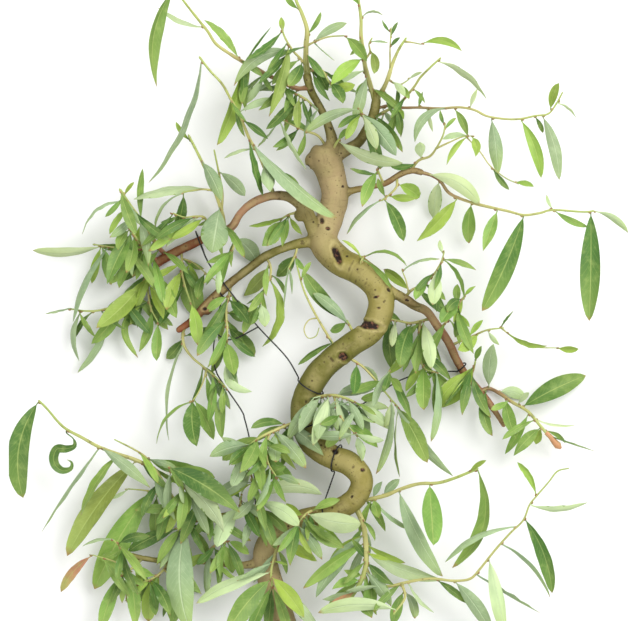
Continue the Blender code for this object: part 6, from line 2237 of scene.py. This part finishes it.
@dataclass
class Studio:
    """The pale table, the soft lights and the camera over them."""

    table_size: float = 6.0
    sky: float = 0.7

    def build_table(self) -> bpy.types.Object:
        """Makes the table top."""
        half = self.table_size / 2
        corners = ((-half, -half), (half, -half), (half, half), (-half, half))
        mesh = Mesh([Vector((x, y + 0.2, 0.0)) for x, y in corners], [Mark()] * 4, [(0, 1, 2, 3)], [0])
        table = mesh.piece("table_top", [TableFinish().material()])
        table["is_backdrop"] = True
        return table

    def build_light(self, name: str, at: Vector, size: float, power: float) -> None:
        """Makes a soft square light that faces the middle of the branch.

        Args:
            name: Its name.
            at: Where it stands.
            size: The length of its side.
            power: Its power.
        """
        data = bpy.data.lights.new(name, "AREA")
        data.size = size
        data.energy = power
        light = bpy.data.objects.new(name, data)
        light.location = at
        light.rotation_euler = (Vector((0.03, 0.2, 0.0)) - at).to_track_quat("-Z", "Y").to_euler()
        bpy.context.scene.collection.objects.link(light)

    def build_camera(self) -> None:
        """Makes the camera, straight over the middle of the picture."""
        data = bpy.data.cameras.new("camera")
        data.sensor_width = SENSOR_WIDTH
        data.lens = SENSOR_WIDTH * (CAMERA_HEIGHT - FOCUS_HEIGHT) / (PHOTO_SIZE[0] * GRID)
        data.clip_end = 50
        camera = bpy.data.objects.new("camera", data)
        middle = place(PHOTO_SIZE[0] / 2, PHOTO_SIZE[1] / 2, 0)
        camera.location = (middle.x, middle.y, CAMERA_HEIGHT)
        bpy.context.scene.collection.objects.link(camera)
        bpy.context.scene.camera = camera

    def build(self) -> None:
        """Makes the whole studio."""
        self.build_table()
        self.build_light("key_light", Vector((1.3, 1.3, 1.9)), 1.9, 58.0)
        self.build_light("fill_light", Vector((-1.5, -0.4, 1.8)), 2.2, 16.0)
        self.build_camera()
        world = bpy.data.worlds.new("studio")
        world.use_nodes = True
        world.node_tree.nodes["Background"].inputs["Color"].default_value = (1, 1, 1, 1)
        world.node_tree.nodes["Background"].inputs["Strength"].default_value = self.sky
        bpy.context.scene.world = world
        bpy.context.scene.view_settings.view_transform = "Standard"


def main() -> None:
    """Builds the branch and its studio."""
    logging.basicConfig(level=logging.INFO, format="%(message)s")
    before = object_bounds()
    low, high = Vector(before[0]), Vector(before[1])
    wood = Wood()
    wires = wire_routes(wood)
    plant = Plant(wood, wires)
    plant.place_stems()
    plant.place_leaves()
    plant.ceiling = high.z
    for name in SHOOTS:
        for leaf in extra_leaves(name, plant.stems[name], wood):
            plant.place_leaf(name, leaf)
    log.info("%d leaves placed, %d left out", sum(map(len, plant.blades.values())), len(plant.missing))

    bark = WoodPiece(wood).build(BarkFinish().material())
    log.info("%s: %d points", bark.name, len(bark.data.vertices))
    looks = [
        TwigFinish().material(),
        LeafFinish("leaf_upper", "paint", srgb(188, 206, 118), 0.42).material(),
        LeafFinish("leaf_under", "under", srgb(204, 222, 176), 0.5, shadow=srgb(110, 140, 100), gloss=0.6,
                   raised=1.6).material(),
    ]
    for name in SHOOTS:
        piece = ShootPiece(name, plant.fine[name], plant.blades[name], (low, high)).build(looks)
        log.info("%s: %d points", piece.name, len(piece.data.vertices))
    wire_look = WireFinish().material()
    for name, runs in wires.items():
        piece = WirePiece(name, runs, (low, high)).build(wire_look)
        log.info("%s: %d points", piece.name, len(piece.data.vertices))
    Studio().build()
    boxes = {"cad": before, "visual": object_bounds()}
    {name: [list(corner) for corner in box] for name, box in boxes.items()}


if __name__ == "__main__":
    main()
